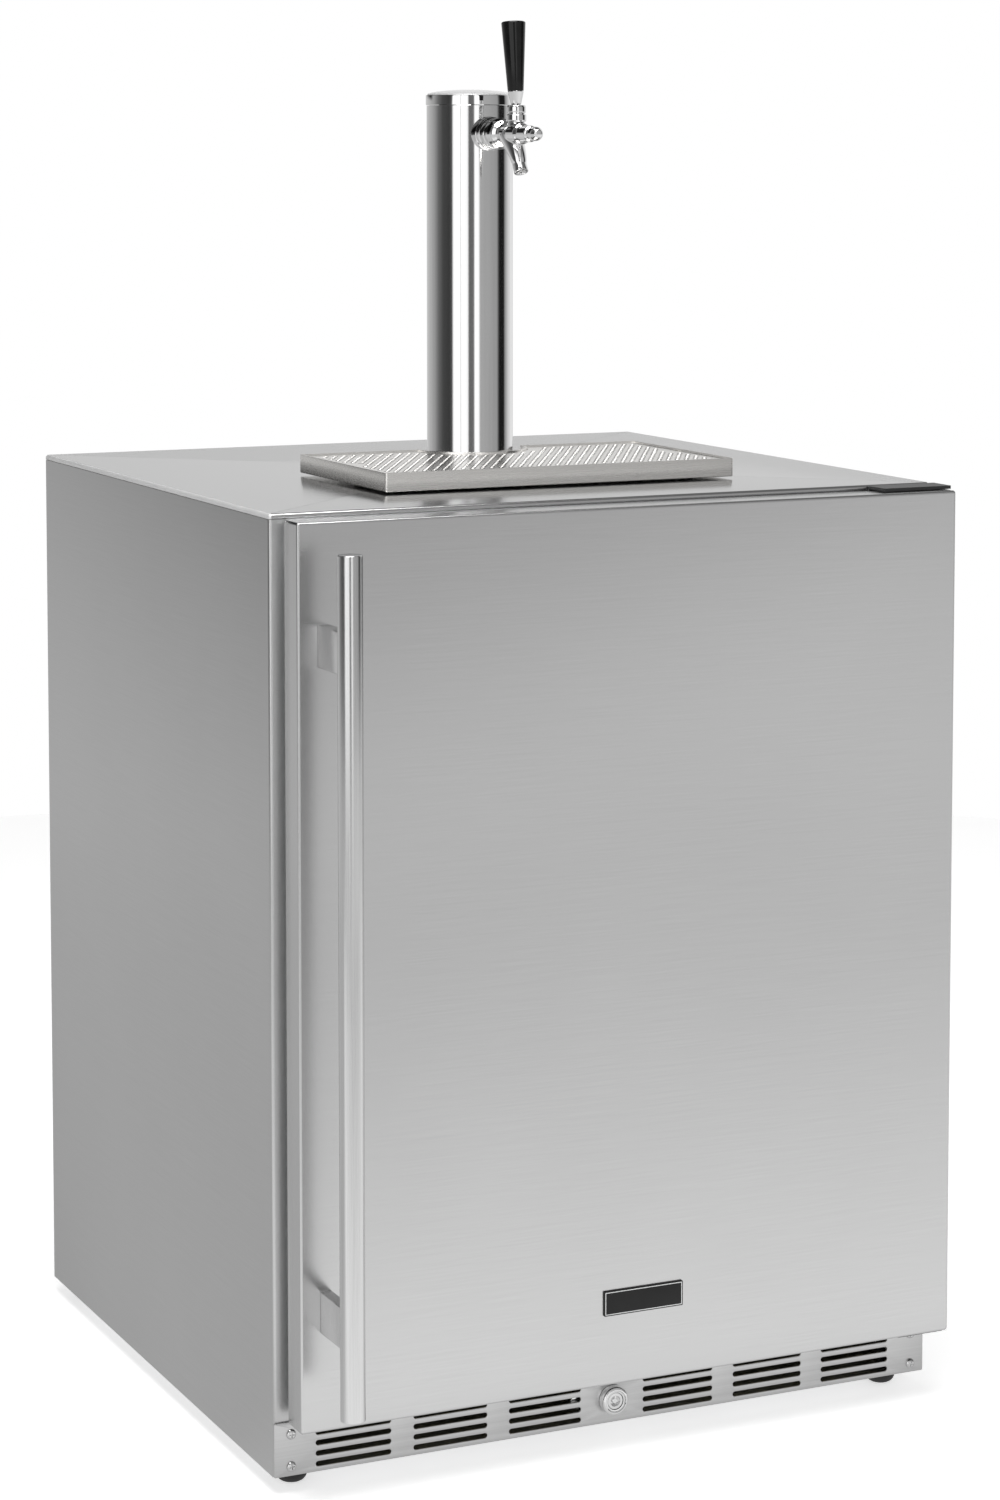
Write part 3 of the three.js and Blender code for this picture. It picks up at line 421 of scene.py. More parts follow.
def inside(spot, outline):
    """True if a point lies within an outline."""
    within = False
    for (ax, ay), (bx, by) in zip(outline, outline[1:] + outline[:1]):
        if (ay > spot.y) != (by > spot.y) and spot.x < ax + (bx - ax) * (spot.y - ay) / (by - ay):
            within = not within
    return within


def pierced(outline, holes, levels):
    """A plate with holes, through (z, inset, hole growth) levels."""
    loops = [outline, *holes]
    flat, edges, owner = [], [], []
    for k, loop in enumerate(loops):
        base = len(flat)
        flat += [Vector(p) for p in loop]
        owner += [k] * len(loop)
        edges += [(base + i, base + (i + 1) % len(loop)) for i in range(len(loop))]
    filled = geometry.delaunay_2d_cdt(flat, edges, [], 1, 1e-6)
    triangles, origin = filled[2], filled[3]
    kept = []
    for triangle in triangles:
        corners = [origin[i][0] for i in triangle]
        owners = {owner[i] for i in corners}
        middle = sum((flat[i] for i in corners), Vector((0.0, 0.0))) / 3
        if len(owners) == 1 and 0 not in owners and inside(middle, loops[owners.pop()]):
            continue
        kept.append(corners)
    points, faces = [], []
    total = len(flat)
    for z, distance, growth in levels:
        points += [(px, py, z) for px, py in inset(outline, distance)]
        for hole in holes:
            points += [(px, py, z) for px, py in inset(hole, -growth)]
    for level in range(len(levels) - 1):
        low, high = level * total, (level + 1) * total
        for a, b in edges:
            faces.append([low + a, low + b, high + b, high + a])
    faces += [triangle[::-1] for triangle in kept]
    faces += [[(len(levels) - 1) * total + i for i in triangle] for triangle in kept]
    return points, faces


def turned(profile, sides=64, ring=False):
    """A solid of revolution about Z, from (radius, z) pairs. A ring's profile is a closed loop."""
    points, faces, rows = [], [], []
    for radius, z in profile:
        if radius < 1e-6:
            rows.append([len(points)] * sides)
            points.append((0.0, 0.0, z))
            continue
        rows.append(list(range(len(points), len(points) + sides)))
        for i in range(sides):
            angle = 2 * math.pi * i / sides
            points.append((radius * math.cos(angle), radius * math.sin(angle), z))
    pairs = list(zip(rows, rows[1:]))
    if ring:
        pairs.append((rows[-1], rows[0]))
    for low, high in pairs:
        for i in range(sides):
            j = (i + 1) % sides
            face = []
            for corner in (low[i], low[j], high[j], high[i]):
                if corner not in face:
                    face.append(corner)
            if len(face) > 2:
                faces.append(face)
    return points, faces


def smooth_path(points, steps):
    """Points along a Catmull-Rom curve through the given points."""
    places = [Vector(p) for p in points]
    places = [2 * places[0] - places[1], *places, 2 * places[-1] - places[-2]]
    made = []
    for i in range(1, len(places) - 2):
        a, b, c, d = places[i - 1 : i + 3]
        for k in range(steps):
            t = k / steps
            bend = (2 * a - 5 * b + 4 * c - d) * t * t
            made.append(0.5 * (2 * b + (c - a) * t + bend + (3 * b - a - 3 * c + d) * t**3))
    made.append(places[-2])
    return made


def swept(points, radius, sides=20, steps=6):
    """A round bar along a smooth path. radius is a number or a function of the share along it."""
    path = smooth_path(points, steps)
    made, faces = [], []
    side = Vector((1, 0, 0))
    for i, place in enumerate(path):
        ahead = path[min(i + 1, len(path) - 1)] - path[max(i - 1, 0)]
        ahead.normalize()
        side = (side - ahead * side.dot(ahead)).normalized()
        up = ahead.cross(side)
        share = i / (len(path) - 1)
        width = radius(share) if callable(radius) else radius
        for k in range(sides):
            angle = 2 * math.pi * k / sides
            made.append(place + side * width * math.cos(angle) + up * width * math.sin(angle))
    for i in range(len(path) - 1):
        for k in range(sides):
            j = (k + 1) % sides
            faces.append([i * sides + k, i * sides + j, (i + 1) * sides + j, (i + 1) * sides + k])
    faces.append(list(range(sides))[::-1])
    faces.append([(len(path) - 1) * sides + k for k in range(sides)])
    return made, faces


def build(name, shape, material, smooth=32.0):
    """A mesh object from a shape, with outward faces and creases sharper than smooth degrees."""
    points, faces = shape
    mesh = bpy.data.meshes.new(name)
    mesh.from_pydata([at(*p) for p in points], [], faces)
    work = bmesh.new()
    work.from_mesh(mesh)
    bmesh.ops.remove_doubles(work, verts=work.verts, dist=1e-7)
    bmesh.ops.recalc_face_normals(work, faces=work.faces)
    work.to_mesh(mesh)
    work.free()
    mesh.shade_smooth()
    mesh.set_sharp_from_angle(angle=math.radians(smooth))
    made = bpy.data.objects.new(name, mesh)
    bpy.context.scene.collection.objects.link(made)
    mesh.materials.append(MATERIALS[material])
    return made


def piece(name, shape, material, body, slot, *replaced, smooth=32.0):
    made = build(name, shape, material, smooth)
    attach(made, body)
    if replaced:
        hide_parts(*replaced)
    return made


def reshaded(made, material, chosen):
    """Gives another material to the faces whose centre, in millimetres, and normal are chosen."""
    made.data.materials.append(MATERIALS[material])
    for face in made.data.polygons:
        if chosen((face.center - AXIS) / MM, face.normal):
            face.material_index = 1


def modified(made, *modifiers):
    """The same object with modifiers applied to its mesh."""
    for kind, settings in modifiers:
        modifier = made.modifiers.new(kind, kind)
        for key, value in settings.items():
            setattr(modifier, key, value)
    graph = bpy.context.evaluated_depsgraph_get()
    mesh = bpy.data.meshes.new_from_object(made.evaluated_get(graph))
    made.modifiers.clear()
    old = made.data
    mesh.name = old.name
    made.data = mesh
    bpy.data.meshes.remove(old)
    return made


# ------------------------------------------------------------------ cabinet

(LEFT, _), (FRONT, BACK), (BASE, _) = span("side_panel_left")
RIGHT = -LEFT
TOP = span("top_panel")[2][1]
SHEET = 1.2  # thickness of the folded steel
FOLD = span("side_panel_left")[0][1] - LEFT
LIP = 4.4  # depth of the top's rolled edge
ROLL = 3.0  # radius of the bends


def side_outline(way):
    """A side panel seen from above, with its front and rear folds. way is -1 for the left one."""
    x = way * RIGHT
    corners = [
        (x, FRONT, ROLL),
        (x - way * FOLD, FRONT),
        (x - way * FOLD, FRONT + SHEET),
        (x - way * SHEET, FRONT + SHEET, ROLL - SHEET),
        (x - way * SHEET, BACK - SHEET, ROLL - SHEET),
        (x - way * FOLD, BACK - SHEET),
        (x - way * FOLD, BACK),
        (x, BACK, ROLL),
    ]
    outline = fillet(corners, 6)
    return outline if way < 0 else outline[::-1]


for way, side in ((-1, "left"), (1, "right")):
    piece(
        f"side_sheet_{side}",
        slab(side_outline(way), BASE, TOP - LIP - 0.2, 0.25, 2),
        "stainless_side",
        "cabinet",
        "stainless_panel",
        f"side_panel_{side}",
    )

LINE_HOLE = 30  # radius of the beer line's way through the top
top_levels = [(TOP - LIP, 0.4, 0.0), (TOP - LIP + 0.4, 0.0, 0.0)]
top_levels += [(z, d, 0.0) for z, d in rounded_edge(TOP, 0, ROLL, 6)[::-1]]
top_sheet = piece(
    "top_sheet",
    pierced(rectangle(LEFT, RIGHT, FRONT, BACK, 2.5), [circle(0, 0, LINE_HOLE, 48)], top_levels),
    "stainless_top",
    "cabinet",
    "stainless_panel",
    "top_panel",
)


def on_rounded_edge(spot, normal):
    """The top's bends, and not the hole in its middle."""
    return abs(normal.z) < 0.97 and abs(spot.x) > LINE_HOLE + 5


# The top's bends get a painted highlight, lighter than the sheet, with a rougher ground finish.
reshaded(top_sheet, "ground_edge_painted_highlight", on_rounded_edge)
FRAME_SIDE = span("front_frame")[0][1]
FRAME_TOP = span("front_frame")[2][1]
piece(
    "top_front_flange",
    block(-FRAME_SIDE, FRAME_SIDE, FRONT, FRONT + SHEET, FRAME_TOP + 0.3, TOP - LIP - 0.2, 0.2),
    "stainless_panel",
    "cabinet",
    "stainless_panel",
)

# ------------------------------------------------------------------ grille, lock and feet

(_, _), (GRILLE_FACE, GRILLE_BACK), (GRILLE_LOW, GRILLE_HIGH) = span("grille_panel")
SLOT_CENTRES = (-234, -148, -62, 62, 148, 234)
SLOT_ROWS = [20.5 + 8.7 * row for row in range(4)]
SLOT_LENGTH, SLOT_HEIGHT = 66, 4
LOCK_HOLE = 10
LOCK_Z = centre("lock_housing").z / MM
slots = [slot_outline(x, z, SLOT_LENGTH, SLOT_HEIGHT) for x in SLOT_CENTRES for z in SLOT_ROWS]
face, back = -GRILLE_FACE, -GRILLE_BACK
piece(
    "grille_sheet",
    moved(
        pierced(
            rectangle(LEFT, RIGHT, GRILLE_LOW, GRILLE_HIGH, 1.2),
            [*slots, circle(0, LOCK_Z, LOCK_HOLE, 32)],
            [(back, 0.0, 0.0), (face - 0.5, 0.0, 0.0), (face - 0.15, 0.15, 0.2), (face, 0.5, 0.6)],
        ),
        FORWARD,
    ),
    "stainless_grille",
    "cabinet",
    "stainless_grille",
    "grille_panel",
)

LOCK_FACE = -span("lock_housing")[1][0]
piece(
    "lock_bezel",
    moved(
        turned(
            [
                (7.35, face - 4),
                (9.5, face - 4),
                (9.5, face + 0.3),
                (12, face + 0.3),
                (12, LOCK_FACE - 2.2),
                (11.7, LOCK_FACE - 1.2),
                (10.9, LOCK_FACE - 0.3),
                (10.2, LOCK_FACE),
                (9.4, LOCK_FACE),
                (9.0, LOCK_FACE - 0.5),
                (8.6, LOCK_FACE - 1.3),
                (7.35, LOCK_FACE - 1.4),
            ],
            64,
            ring=True,
        ),
        FORWARD,
        z=LOCK_Z,
    ),
    "polished_steel",
    "cabinet",
    "polished_steel",
    "lock_housing",
)
CAM_BACK, CAM_FRONT = 277.6, 280
plug = turned(
    [
        (0, CAM_BACK),
        (7, CAM_BACK),
        (7, LOCK_FACE - 2.0),
        (6.7, LOCK_FACE - 1.7),
        (4.6, LOCK_FACE - 1.7),
        (4.4, LOCK_FACE - 2.0),
        (4.4, LOCK_FACE - 5.5),
        (2.3, LOCK_FACE - 5.5),
        (2.3, LOCK_FACE - 2.6),
        (2.0, LOCK_FACE - 2.3),
        (0, LOCK_FACE - 2.3),
    ],
    48,
)
cam_outline = fillet([(-36, -6, 5.9), (5, -6, 4), (5, 6, 4), (-36, 6, 5.9)], 6)
cam = slab(cam_outline, CAM_BACK, CAM_FRONT, 0.3)
key_mark = block(-0.7, 0.7, 2.0, 4.6, LOCK_FACE - 5.5, LOCK_FACE - 1.7, 0.15)
piece(
    "lock_core",
    moved(joined(plug, cam, key_mark), FORWARD, z=LOCK_Z),
    "polished_steel",
    "lock",
    "polished_steel",
    "lock_plug",
)
SCREW_R = 4.2


def cross_screw(name, x, z, turn):
    """A pan-head screw with a cross recess, on the grille's face."""
    arm, half = 2.3, 0.45
    quarter = [(-arm, -half), (-half, -half), (-half, -arm)]
    recess = list(quarter)
    for _ in range(3):
        quarter = [(-py, px) for px, py in quarter]
        recess += quarter
    dome = [(0.0, 0.1, 0.0), (0.6, 0.0, 0.0), (1.4, 0.3, 0.0), (2.1, 1.1, 0.0), (2.5, 1.8, 0.0)]
    head = pierced(circle(0, 0, SCREW_R, 32), [recess], dome)
    recess_floor = slab(circle(0, 0, 3.0, 24), 0.1, 1.1, 0.05)
    screw = moved(joined(head, recess_floor), Matrix.Rotation(turn, 4, "Z"))
    made = build(name, screw, "handle_steel")
    to_face = Matrix.Translation(at(x, 0, z)) @ Matrix.Translation((0, GRILLE_FACE * MM, 0))
    made.data.transform(to_face @ FORWARD @ Matrix.Translation(-at(0, 0, 0)))
    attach(made, "cabinet")


for side, x in (("left", LEFT + 14.5), ("right", RIGHT - 13)):
    for level, z in (("low", BASE + 8), ("high", BASE + 34.6)):
        cross_screw(f"grille_screw_{side}_{level}", x, z, 0.4 + x * 0.01 + z * 0.05)

THREAD_PITCH = 1.5
for corner in ("front_left", "front_right", "rear_left", "rear_right"):
    foot = f"levelling_foot_{corner}"
    middle = (centre(foot) - AXIS) / MM
    thread = []
    for k in range(16):
        thread += [(4.0, 15 + THREAD_PITCH * k), (3.4, 15.75 + THREAD_PITCH * k)]
    piece(
        f"foot_{corner}_pad",
        moved(
            turned(
                [
                    (0, 0),
                    (6.5, 0),
                    (8.5, 0.3),
                    (10.3, 1.4),
                    (11.7, 3.0),
                    (12.6, 5.0),
                    (13, 7.2),
                    (13, 12.6),
                    (12.8, 13.3),
                    (12.2, 13.7),
                    (4.6, 13.7),
                ]
                + thread
                + [(3.4, 39.5), (0, 40)],
                48,
            ),
            x=middle.x,
            y=middle.y,
        ),
        "black_rubber",
        f"foot_{corner}",
        "black_rubber",
        foot,
    )

# ------------------------------------------------------------------ door

(DOOR_LEFT, DOOR_RIGHT), (DOOR_FACE, DOOR_BACK), (DOOR_LOW, DOOR_HIGH) = span("door_skin")
door_front, door_back = -DOOR_FACE, -DOOR_BACK
door_levels = rounded_edge(door_front, door_back, 2.2, 6)
door_levels += [(door_back + 0.4, 0), (door_back, 0.4)]
door_levels += [(door_back, SHEET), (door_back + 2.4, SHEET)]
door_outline = rectangle(DOOR_LEFT, DOOR_RIGHT, DOOR_LOW, DOOR_HIGH, 2.5, 6)
piece(
    "door_sheet",
    moved(prism(door_outline, door_levels), FORWARD),
    "stainless_door",
    "door",
    "stainless_door",
    "door_skin",
)

(bx0, bx1), (by0, by1), (bz0, bz1) = span("handle_bar")
BAR_X, BAR_Y, BAR_R = (bx0 + bx1) / 2, (by0 + by1) / 2, (bx1 - bx0) / 2
bar_levels = [(0, bz0)] + [(BAR_R - d, z) for z, d in rounded_edge(bz0, bz1, 0.9)]
bar_levels += [(BAR_R - d, z) for z, d in rounded_edge(bz1, bz0, 0.9)[::-1]] + [(0, bz1)]
piece(
    "handle_tube",
    moved(turned(bar_levels, 96), x=BAR_X, y=BAR_Y),
    "handle_steel",
    "door",
    "handle_steel",
    "handle_bar",
)
for end in ("top", "bottom"):
    (px0, px1), (_, py1), (pz0, pz1) = span(f"handle_post_{end}")
    piece(
        f"handle_{end}_arm",
        moved(slab(rectangle(px0, px1, pz0, pz1, 1.2), -py1, -BAR_Y - 4, 0.3), FORWARD),
        "handle_steel",
        "door",
        "handle_steel",
        f"handle_post_{end}",
    )

(gx0, gx1), (gy0, gy1), (gz0, gz1) = span("badge_plate")
piece(
    "blank_badge",
    moved(slab(rectangle(gx0, gx1, gz0, gz1, 0.9), -gy1, -gy0 - 0.2, 0.3), FORWARD),
    "black_gloss",
    "door",
    "black_gloss",
    "badge_plate",
)
piece(
    "badge_border",
    moved(
        pierced(
            rectangle(gx0 + 0.9, gx1 - 0.9, gz0 + 0.9, gz1 - 0.9, 0.5),
            [rectangle(gx0 + 1.7, gx1 - 1.7, gz0 + 1.7, gz1 - 1.7, 0.3)],
            [(-gy0 - 0.5, 0.0, 0.0), (-gy0, 0.1, 0.1)],
        ),
        FORWARD,
    ),
    "white_liner",
    "door",
    "white_liner",
)

# ------------------------------------------------------------------ tower

TOWER_R = 38.1
TUBE = 1.5  # thickness of the column's wall
(_, _), (_, _), (COLUMN_LOW, COLUMN_HIGH) = span("tower_column")
FLANGE_R = span("tower_column")[0][1]
column = fillet(
    [
        (TOWER_R - TUBE, COLUMN_LOW),
        (FLANGE_R, COLUMN_LOW),
        (FLANGE_R, COLUMN_LOW + 6, 1.6),
        (TOWER_R, COLUMN_LOW + 6, 1.2),
        (TOWER_R, COLUMN_HIGH),
        (TOWER_R - TUBE, COLUMN_HIGH),
    ],
    4,
)
piece(
    "tower_tube",
    turned(column, 160, ring=True),
    "polished_steel",
    "cabinet",
    "polished_steel",
    "tower_column",
)
CAP_R = span("tower_cap")[0][1]
CAP_TOP = span("tower_cap")[2][1]
BAND = 9.4  # height of the cap's upright band
LID_TOP = COLUMN_HIGH + BAND
DOME = CAP_TOP - COLUMN_HIGH - BAND
lid = [
    (0, COLUMN_HIGH - 6),
    (TOWER_R - 2, COLUMN_HIGH - 6),
    (TOWER_R - 2, COLUMN_HIGH + 0.2),
    (CAP_R - 0.5, COLUMN_HIGH + 0.3),
    (CAP_R, COLUMN_HIGH + 0.8),
    (CAP_R, LID_TOP - 0.9),
    (CAP_R - 0.15, LID_TOP - 0.4),
    (CAP_R - 0.6, LID_TOP - 0.1),
    (CAP_R - 1.2, LID_TOP - 0.1),
    (0, LID_TOP - 0.1),
]
dome = [(0, LID_TOP - 0.5), (CAP_R - 1.1, LID_TOP - 0.5)]
for k in range(1, 13):
    angle = math.pi / 2 * k / 12
    dome.append(((CAP_R - 1.1) * math.cos(angle), LID_TOP + DOME * math.sin(angle)))
dome[-1] = (0, CAP_TOP)
piece("tower_dome", turned(dome, 128), "satin_chrome", "cabinet", "chrome_plate", "tower_cap")
piece("tower_lid", turned(lid, 128), "chrome_plate", "cabinet", "chrome_plate", "tower_cap")

# ------------------------------------------------------------------ faucet

SHANK_Z = centre("coupling_nut").z / MM
SHANK_BORE = 11.2  # radius inside the collar and the nut
LEVER_Y = (centre("tap_handle").y - AXIS.y) / MM
PIVOT_Z = SHANK_Z + 20  # middle of the lever's ball
LEAN = Matrix.Rotation(-0.08, 4, "X")  # of the closed handle, forwards
collar = fillet(
    [
        (SHANK_BORE, 33),
        (14.8, 33),
        (14.8, 43.8, 0.6),
        (14.0, 44.4, 0.3),
        (14.0, 45.2, 0.3),
        (14.6, 45.8, 0.6),
        (14.2, 49.4, 0.8),
        (SHANK_BORE, 49.9),
    ],
    3,
)
piece(
    "shank_bell",
    moved(turned(collar, 72, ring=True), FORWARD, z=SHANK_Z),
    "chrome_ring_painted_reflection",
    "cabinet",
    "chrome_plate",
    "shank_collar",
)
nut = fillet(
    [
        (SHANK_BORE, 50.2),
        (13.5, 50.2, 0.4),
        (13.5, 57.4, 0.5),
        (12.6, 57.9, 0.3),
        (12.6, 58.7, 0.3),
        (13.5, 59.2, 0.5),
        (13.5, 65.4, 1.8),
        (11.9, 68.0, 0.4),
        (SHANK_BORE, 68.0),
    ],
    4,
)
piece(
    "coupling_ring",
    moved(turned(nut, 72, ring=True), FORWARD, z=SHANK_Z),
    "chrome_ring_painted_reflection",
    "cabinet",
    "chrome_plate",
    "coupling_nut",
)

barrel = fillet(
    [
        (0, 68.2),
        (12.1, 68.2, 0.5),
        (12.1, 71.0, 0.9),
        (8.2, 74.5, 3.0),
        (7.8, 88, 2.5),
        (9.3, 93, 2.5),
        (9.3, 108.5, 1.2),
        (7.2, 111, 0.8),
        (7.1, 126.4, 0.8),
        (5.2, 127.4, 0.4),
        (5.2, 128.6, 0.5),
        (6.3, 131.4, 2.4),
        (6.0, 137.4, 3.2),
        (3.6, 141.6, 2.0),
        (0, 142),
    ],
    4,
    closed=False,
)


def spout_radius(share):
    """The spout narrows from its root to its tip."""
    return 10.2 - 4.2 * min(1.0, share * 1.05)


neck = fillet([(0, -2), (7.8, -2), (7.6, 8.5, 1.5), (7.2, 10.2, 0.5), (0, 10.2)], 3, False)
spout = [(0, -84, -1), (0, -91, -8), (0, -97.5, -15.6), (0, -101.6, -22.2), (0, -103.6, -27)]
body_shape = joined(
    moved(turned(barrel, 48), FORWARD),
    moved(turned(neck, 40), y=LEVER_Y),
    swept(spout, spout_radius, 28, 6),
)
faucet = build("faucet_casting", moved(body_shape, z=SHANK_Z), "chrome_plate", 60)
modified(
    faucet,
    ("REMESH", {"mode": "VOXEL", "voxel_size": 0.00055, "use_smooth_shade": True}),
    ("SMOOTH", {"factor": 0.6, "iterations": 7}),
)
faucet.data.materials.clear()
faucet.data.materials.append(MATERIALS["chrome_plate"])
faucet.data.shade_smooth()
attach(faucet, "cabinet")
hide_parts("faucet_body")

SPOUT_LEAN = 0.49  # of the spout's end from straight down
TIP_Y, TIP_Z = -104.6, SHANK_Z - 29.0  # middle of the spout's end
tip_turn = Matrix.Rotation(math.pi - SPOUT_LEAN, 4, "X")
tip = fillet(
    [(4.1, -7), (6.0, -7), (6.25, 1.4, 0.5), (6.25, 4.4, 0.5), (4.6, 4.6, 0.3), (4.1, 3.6)], 3
)
piece(
    "faucet_outlet",
    moved(turned(tip, 40, ring=True), tip_turn, 0, TIP_Y, TIP_Z),
    "chrome_plate",
    "cabinet",
    "chrome_plate",
)
# A black disc inside the outlet is painted shade for the dark inside of the bore.
bore_shade_disc = turned([(0, -6.5), (4.3, -6.5), (4.3, -2.0), (0, -2.0)], 32)
piece(
    "faucet_bore_shade",
    moved(bore_shade_disc, tip_turn, 0, TIP_Y, TIP_Z),
    "grille_shadow",
    "cabinet",
    "black_rubber",
)

bonnet = fillet(
    [
        (7.4, 10.3),
        (8.0, 10.3, 0.2),
        (8.7, 11.6, 0.8),
        (8.7, 16.2, 0.8),
        (7.6, 16.9, 0.2),
        (7.6, 17.8, 0.2),
        (8.3, 18.5, 0.7),
        (8.3, 22.8, 1.1),
        (7.7, 24.4, 0.3),
        (7.3, 24.4),
        (5.6, 20.0),
        (5.6, 15.0),
    ],
    4,
)
piece(
    "bonnet_rings",
    moved(turned(bonnet, 56, ring=True), x=0, y=LEVER_Y, z=SHANK_Z),
    "chrome_plate",
    "cabinet",
    "chrome_plate",
    "faucet_bonnet",
)
BALL_R = 5
stem = [(0, -9.5), (2.2, -9.5), (2.2, -4.4)]
for k in range(10):
    angle = math.radians(-58 + 12 * k)
    stem.append((BALL_R * math.cos(angle), BALL_R * math.sin(angle)))
stem += [(0, 4.7)]
socket = fillet(
    [(0, 3.4), (3.1, 4.8, 0.2), (4.4, 5.2, 0.4), (6.9, 15.8, 0.3), (6.7, 16.4), (0, 16.4)],
    3,
    False,
)
piece(
    "lever_ferrule",
    moved(joined(turned(stem, 48), moved(turned(socket, 48), LEAN)), y=LEVER_Y, z=PIVOT_Z),
    "chrome_plate",
    "tap_lever",
    "chrome_plate",
    "faucet_lever",
)
HANDLE_TOP = 76.3  # above the pivot, along the handle
grip = fillet(
    [
        (0, 16.6),
        (6.9, 16.6, 0.5),
        (10.5, HANDLE_TOP - 0.9, 1.3),
        (9.3, HANDLE_TOP - 0.1, 0.8),
        (0, HANDLE_TOP),
    ],
    5,
    False,
)
piece(
    "tap_grip",
    moved(moved(turned(grip, 72), LEAN), y=LEVER_Y, z=PIVOT_Z),
    "black_gloss",
    "tap_lever",
    "black_gloss",
    "tap_handle",
    smooth=40,
)

# ------------------------------------------------------------------ drip tray

(_, TX1), (TY0, TY1), (TZ0, TZ1) = span("drip_pan")
NOTCH = 49.5  # radius of the tray's bite round the column
BITE_DEPTH = 4  # of the grid's finger bites
PAN_LOW = TZ0 + 2
PAN_WALL = 1.3


def tray_outline(gap, corner, bites=()):
    """The tray's outline, inset all round, with its bite round the column and finger bites."""
    x, front, rear = TX1 - gap, TY0 + gap, -gap
    radius = NOTCH + gap
    right = [(x, front, corner)]
    left = []
    for bite in bites:
        notch = [
            (x, bite - 8.5, 0.8),
            (x - BITE_DEPTH, bite - 7, 3),
            (x - BITE_DEPTH, bite + 7, 3),
            (x, bite + 8.5, 0.8),
        ]
        right += notch
        left += [(-px, py, rounding) for px, py, rounding in notch[::-1]]
    right += [(x, rear, corner)]
    left = [(-x, rear, corner), *left, (-x, front, corner)]
    right_part = fillet([(0, front), *right, (0, rear)], 5, False)[1:-1]
    left_part = fillet([(0, rear), *left, (0, front)], 5, False)[1:-1]
    meet = math.acos(min(1.0, -rear / radius))
    arc = []
    for k in range(41):
        angle = -math.pi / 2 + meet - 2 * meet * k / 40
        arc.append((radius * math.cos(angle), radius * math.sin(angle)))
    return right_part + arc + left_part


pan_levels = rounded_edge(PAN_LOW, TZ1, 1.0, 3)
pan_levels += [(TZ1 - 0.35, 0), (TZ1 - 0.1, 0.12), (TZ1, 0.4), (TZ1, 0.9), (TZ1 - 0.1, 1.2)]
pan_levels += [(TZ1 - 0.4, PAN_WALL), (PAN_LOW + 2.0, PAN_WALL), (PAN_LOW + 1.3, 2.0)]
piece(
    "tray_pan",
    prism(tray_outline(0, 2.0), pan_levels),
    "tray_steel",
    "drip_pan",
    "tray_steel",
    "drip_pan",
)
pad = [(0, TZ0), (5.6, TZ0), (6, TZ0 + 0.4), (6, PAN_LOW + 0.3), (0, PAN_LOW + 0.3)]
pads = [moved(turned(pad, 24), x=x, y=y) for x in (-130, 130) for y in (-166, -60)]
piece("tray_feet", joined(*pads), "black_rubber", "drip_pan", "black_rubber")

GRID_TOP = span("drip_grid")[2][1]
PITCH = 8.8  # from hole to hole
ROW_SHARE = 0.866  # of the pitch, from row to row, so that the holes stand in triangles
HOLE_R = 2.7
BITE_Y = -95  # middle of the finger bites
# From an edge to the middle of the nearest hole.
FRONT_MARGIN, SIDE_MARGIN, REAR_MARGIN, NOTCH_MARGIN = 13, 12, 10, 11
BITE_MARGINS = (18, 14)
grid_edge = tray_outline(2.0, 1.5, (BITE_Y,))
holes = []
rows = int((TY1 - TY0) / (PITCH * ROW_SHARE)) + 1
for row in range(rows):
    y = TY0 + FRONT_MARGIN + row * PITCH * ROW_SHARE
    for column_index in range(-20, 21):
        x = (column_index + (row % 2) * 0.5) * PITCH
        if abs(x) > TX1 - SIDE_MARGIN or y > -REAR_MARGIN:
            continue
        if math.hypot(x, y) < NOTCH + NOTCH_MARGIN:
            continue
        if abs(x) > TX1 - BITE_MARGINS[0] and abs(y - BITE_Y) < BITE_MARGINS[1]:
            continue
        holes.append(circle(x, y, HOLE_R, 10))
grid = pierced(
    grid_edge,
    holes,
    [(GRID_TOP - 1.2, 0.0, 0.0), (GRID_TOP - 0.15, 0.0, 0.0), (GRID_TOP, 0.15, 0.12)],
)
GRID_LOW = span("drip_grid")[2][0]
legs = [
    block(x - 4, x + 4, y - 4, y + 4, GRID_LOW, GRID_TOP - 1.0, 0.4)
    for x in (-120, 120)
    for y in (-156, -70)
]
grid_and_legs = joined(grid, *legs)
tray_grid = piece("tray_grid", grid_and_legs, "tray_steel", "drip_grid", "tray_steel", "drip_grid")


def in_a_hole(spot, normal):
    """The walls of the grid's holes, and not its outer edges."""
    pierced_part = abs(spot.x) < TX1 - 7 and TY0 + 6 < spot.y < -8
    return pierced_part and math.hypot(spot.x, spot.y) > NOTCH + 6 and abs(normal.z) < 0.5


reshaded(tray_grid, "grille_shadow", in_a_hole)

# ------------------------------------------------------------------ equipment inside

PROBE_Z = 738  # the coupler probe's outlet
route = [
    (0, -99.4, PROBE_Z),
    (0, -82, PROBE_Z),
    (0, -62, 737.5),
    (0, -42, 738.5),
    (0, -22, 744),
    (0, -7, 760),
    (0, -1, 786),
    (0, 0, 828),
    (0, 0, 898),
    (0, 0, SHANK_Z - 110),
    (0, 0, SHANK_Z - 60),
    (0, 0, SHANK_Z - 32.6),
]
BEER_LINE_R, GAS_LINE_R = 5.5, 5
beer = build("beer_hose", swept(route, BEER_LINE_R, 24, 5), "clear_hose")
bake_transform(beer)
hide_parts("beer_line")

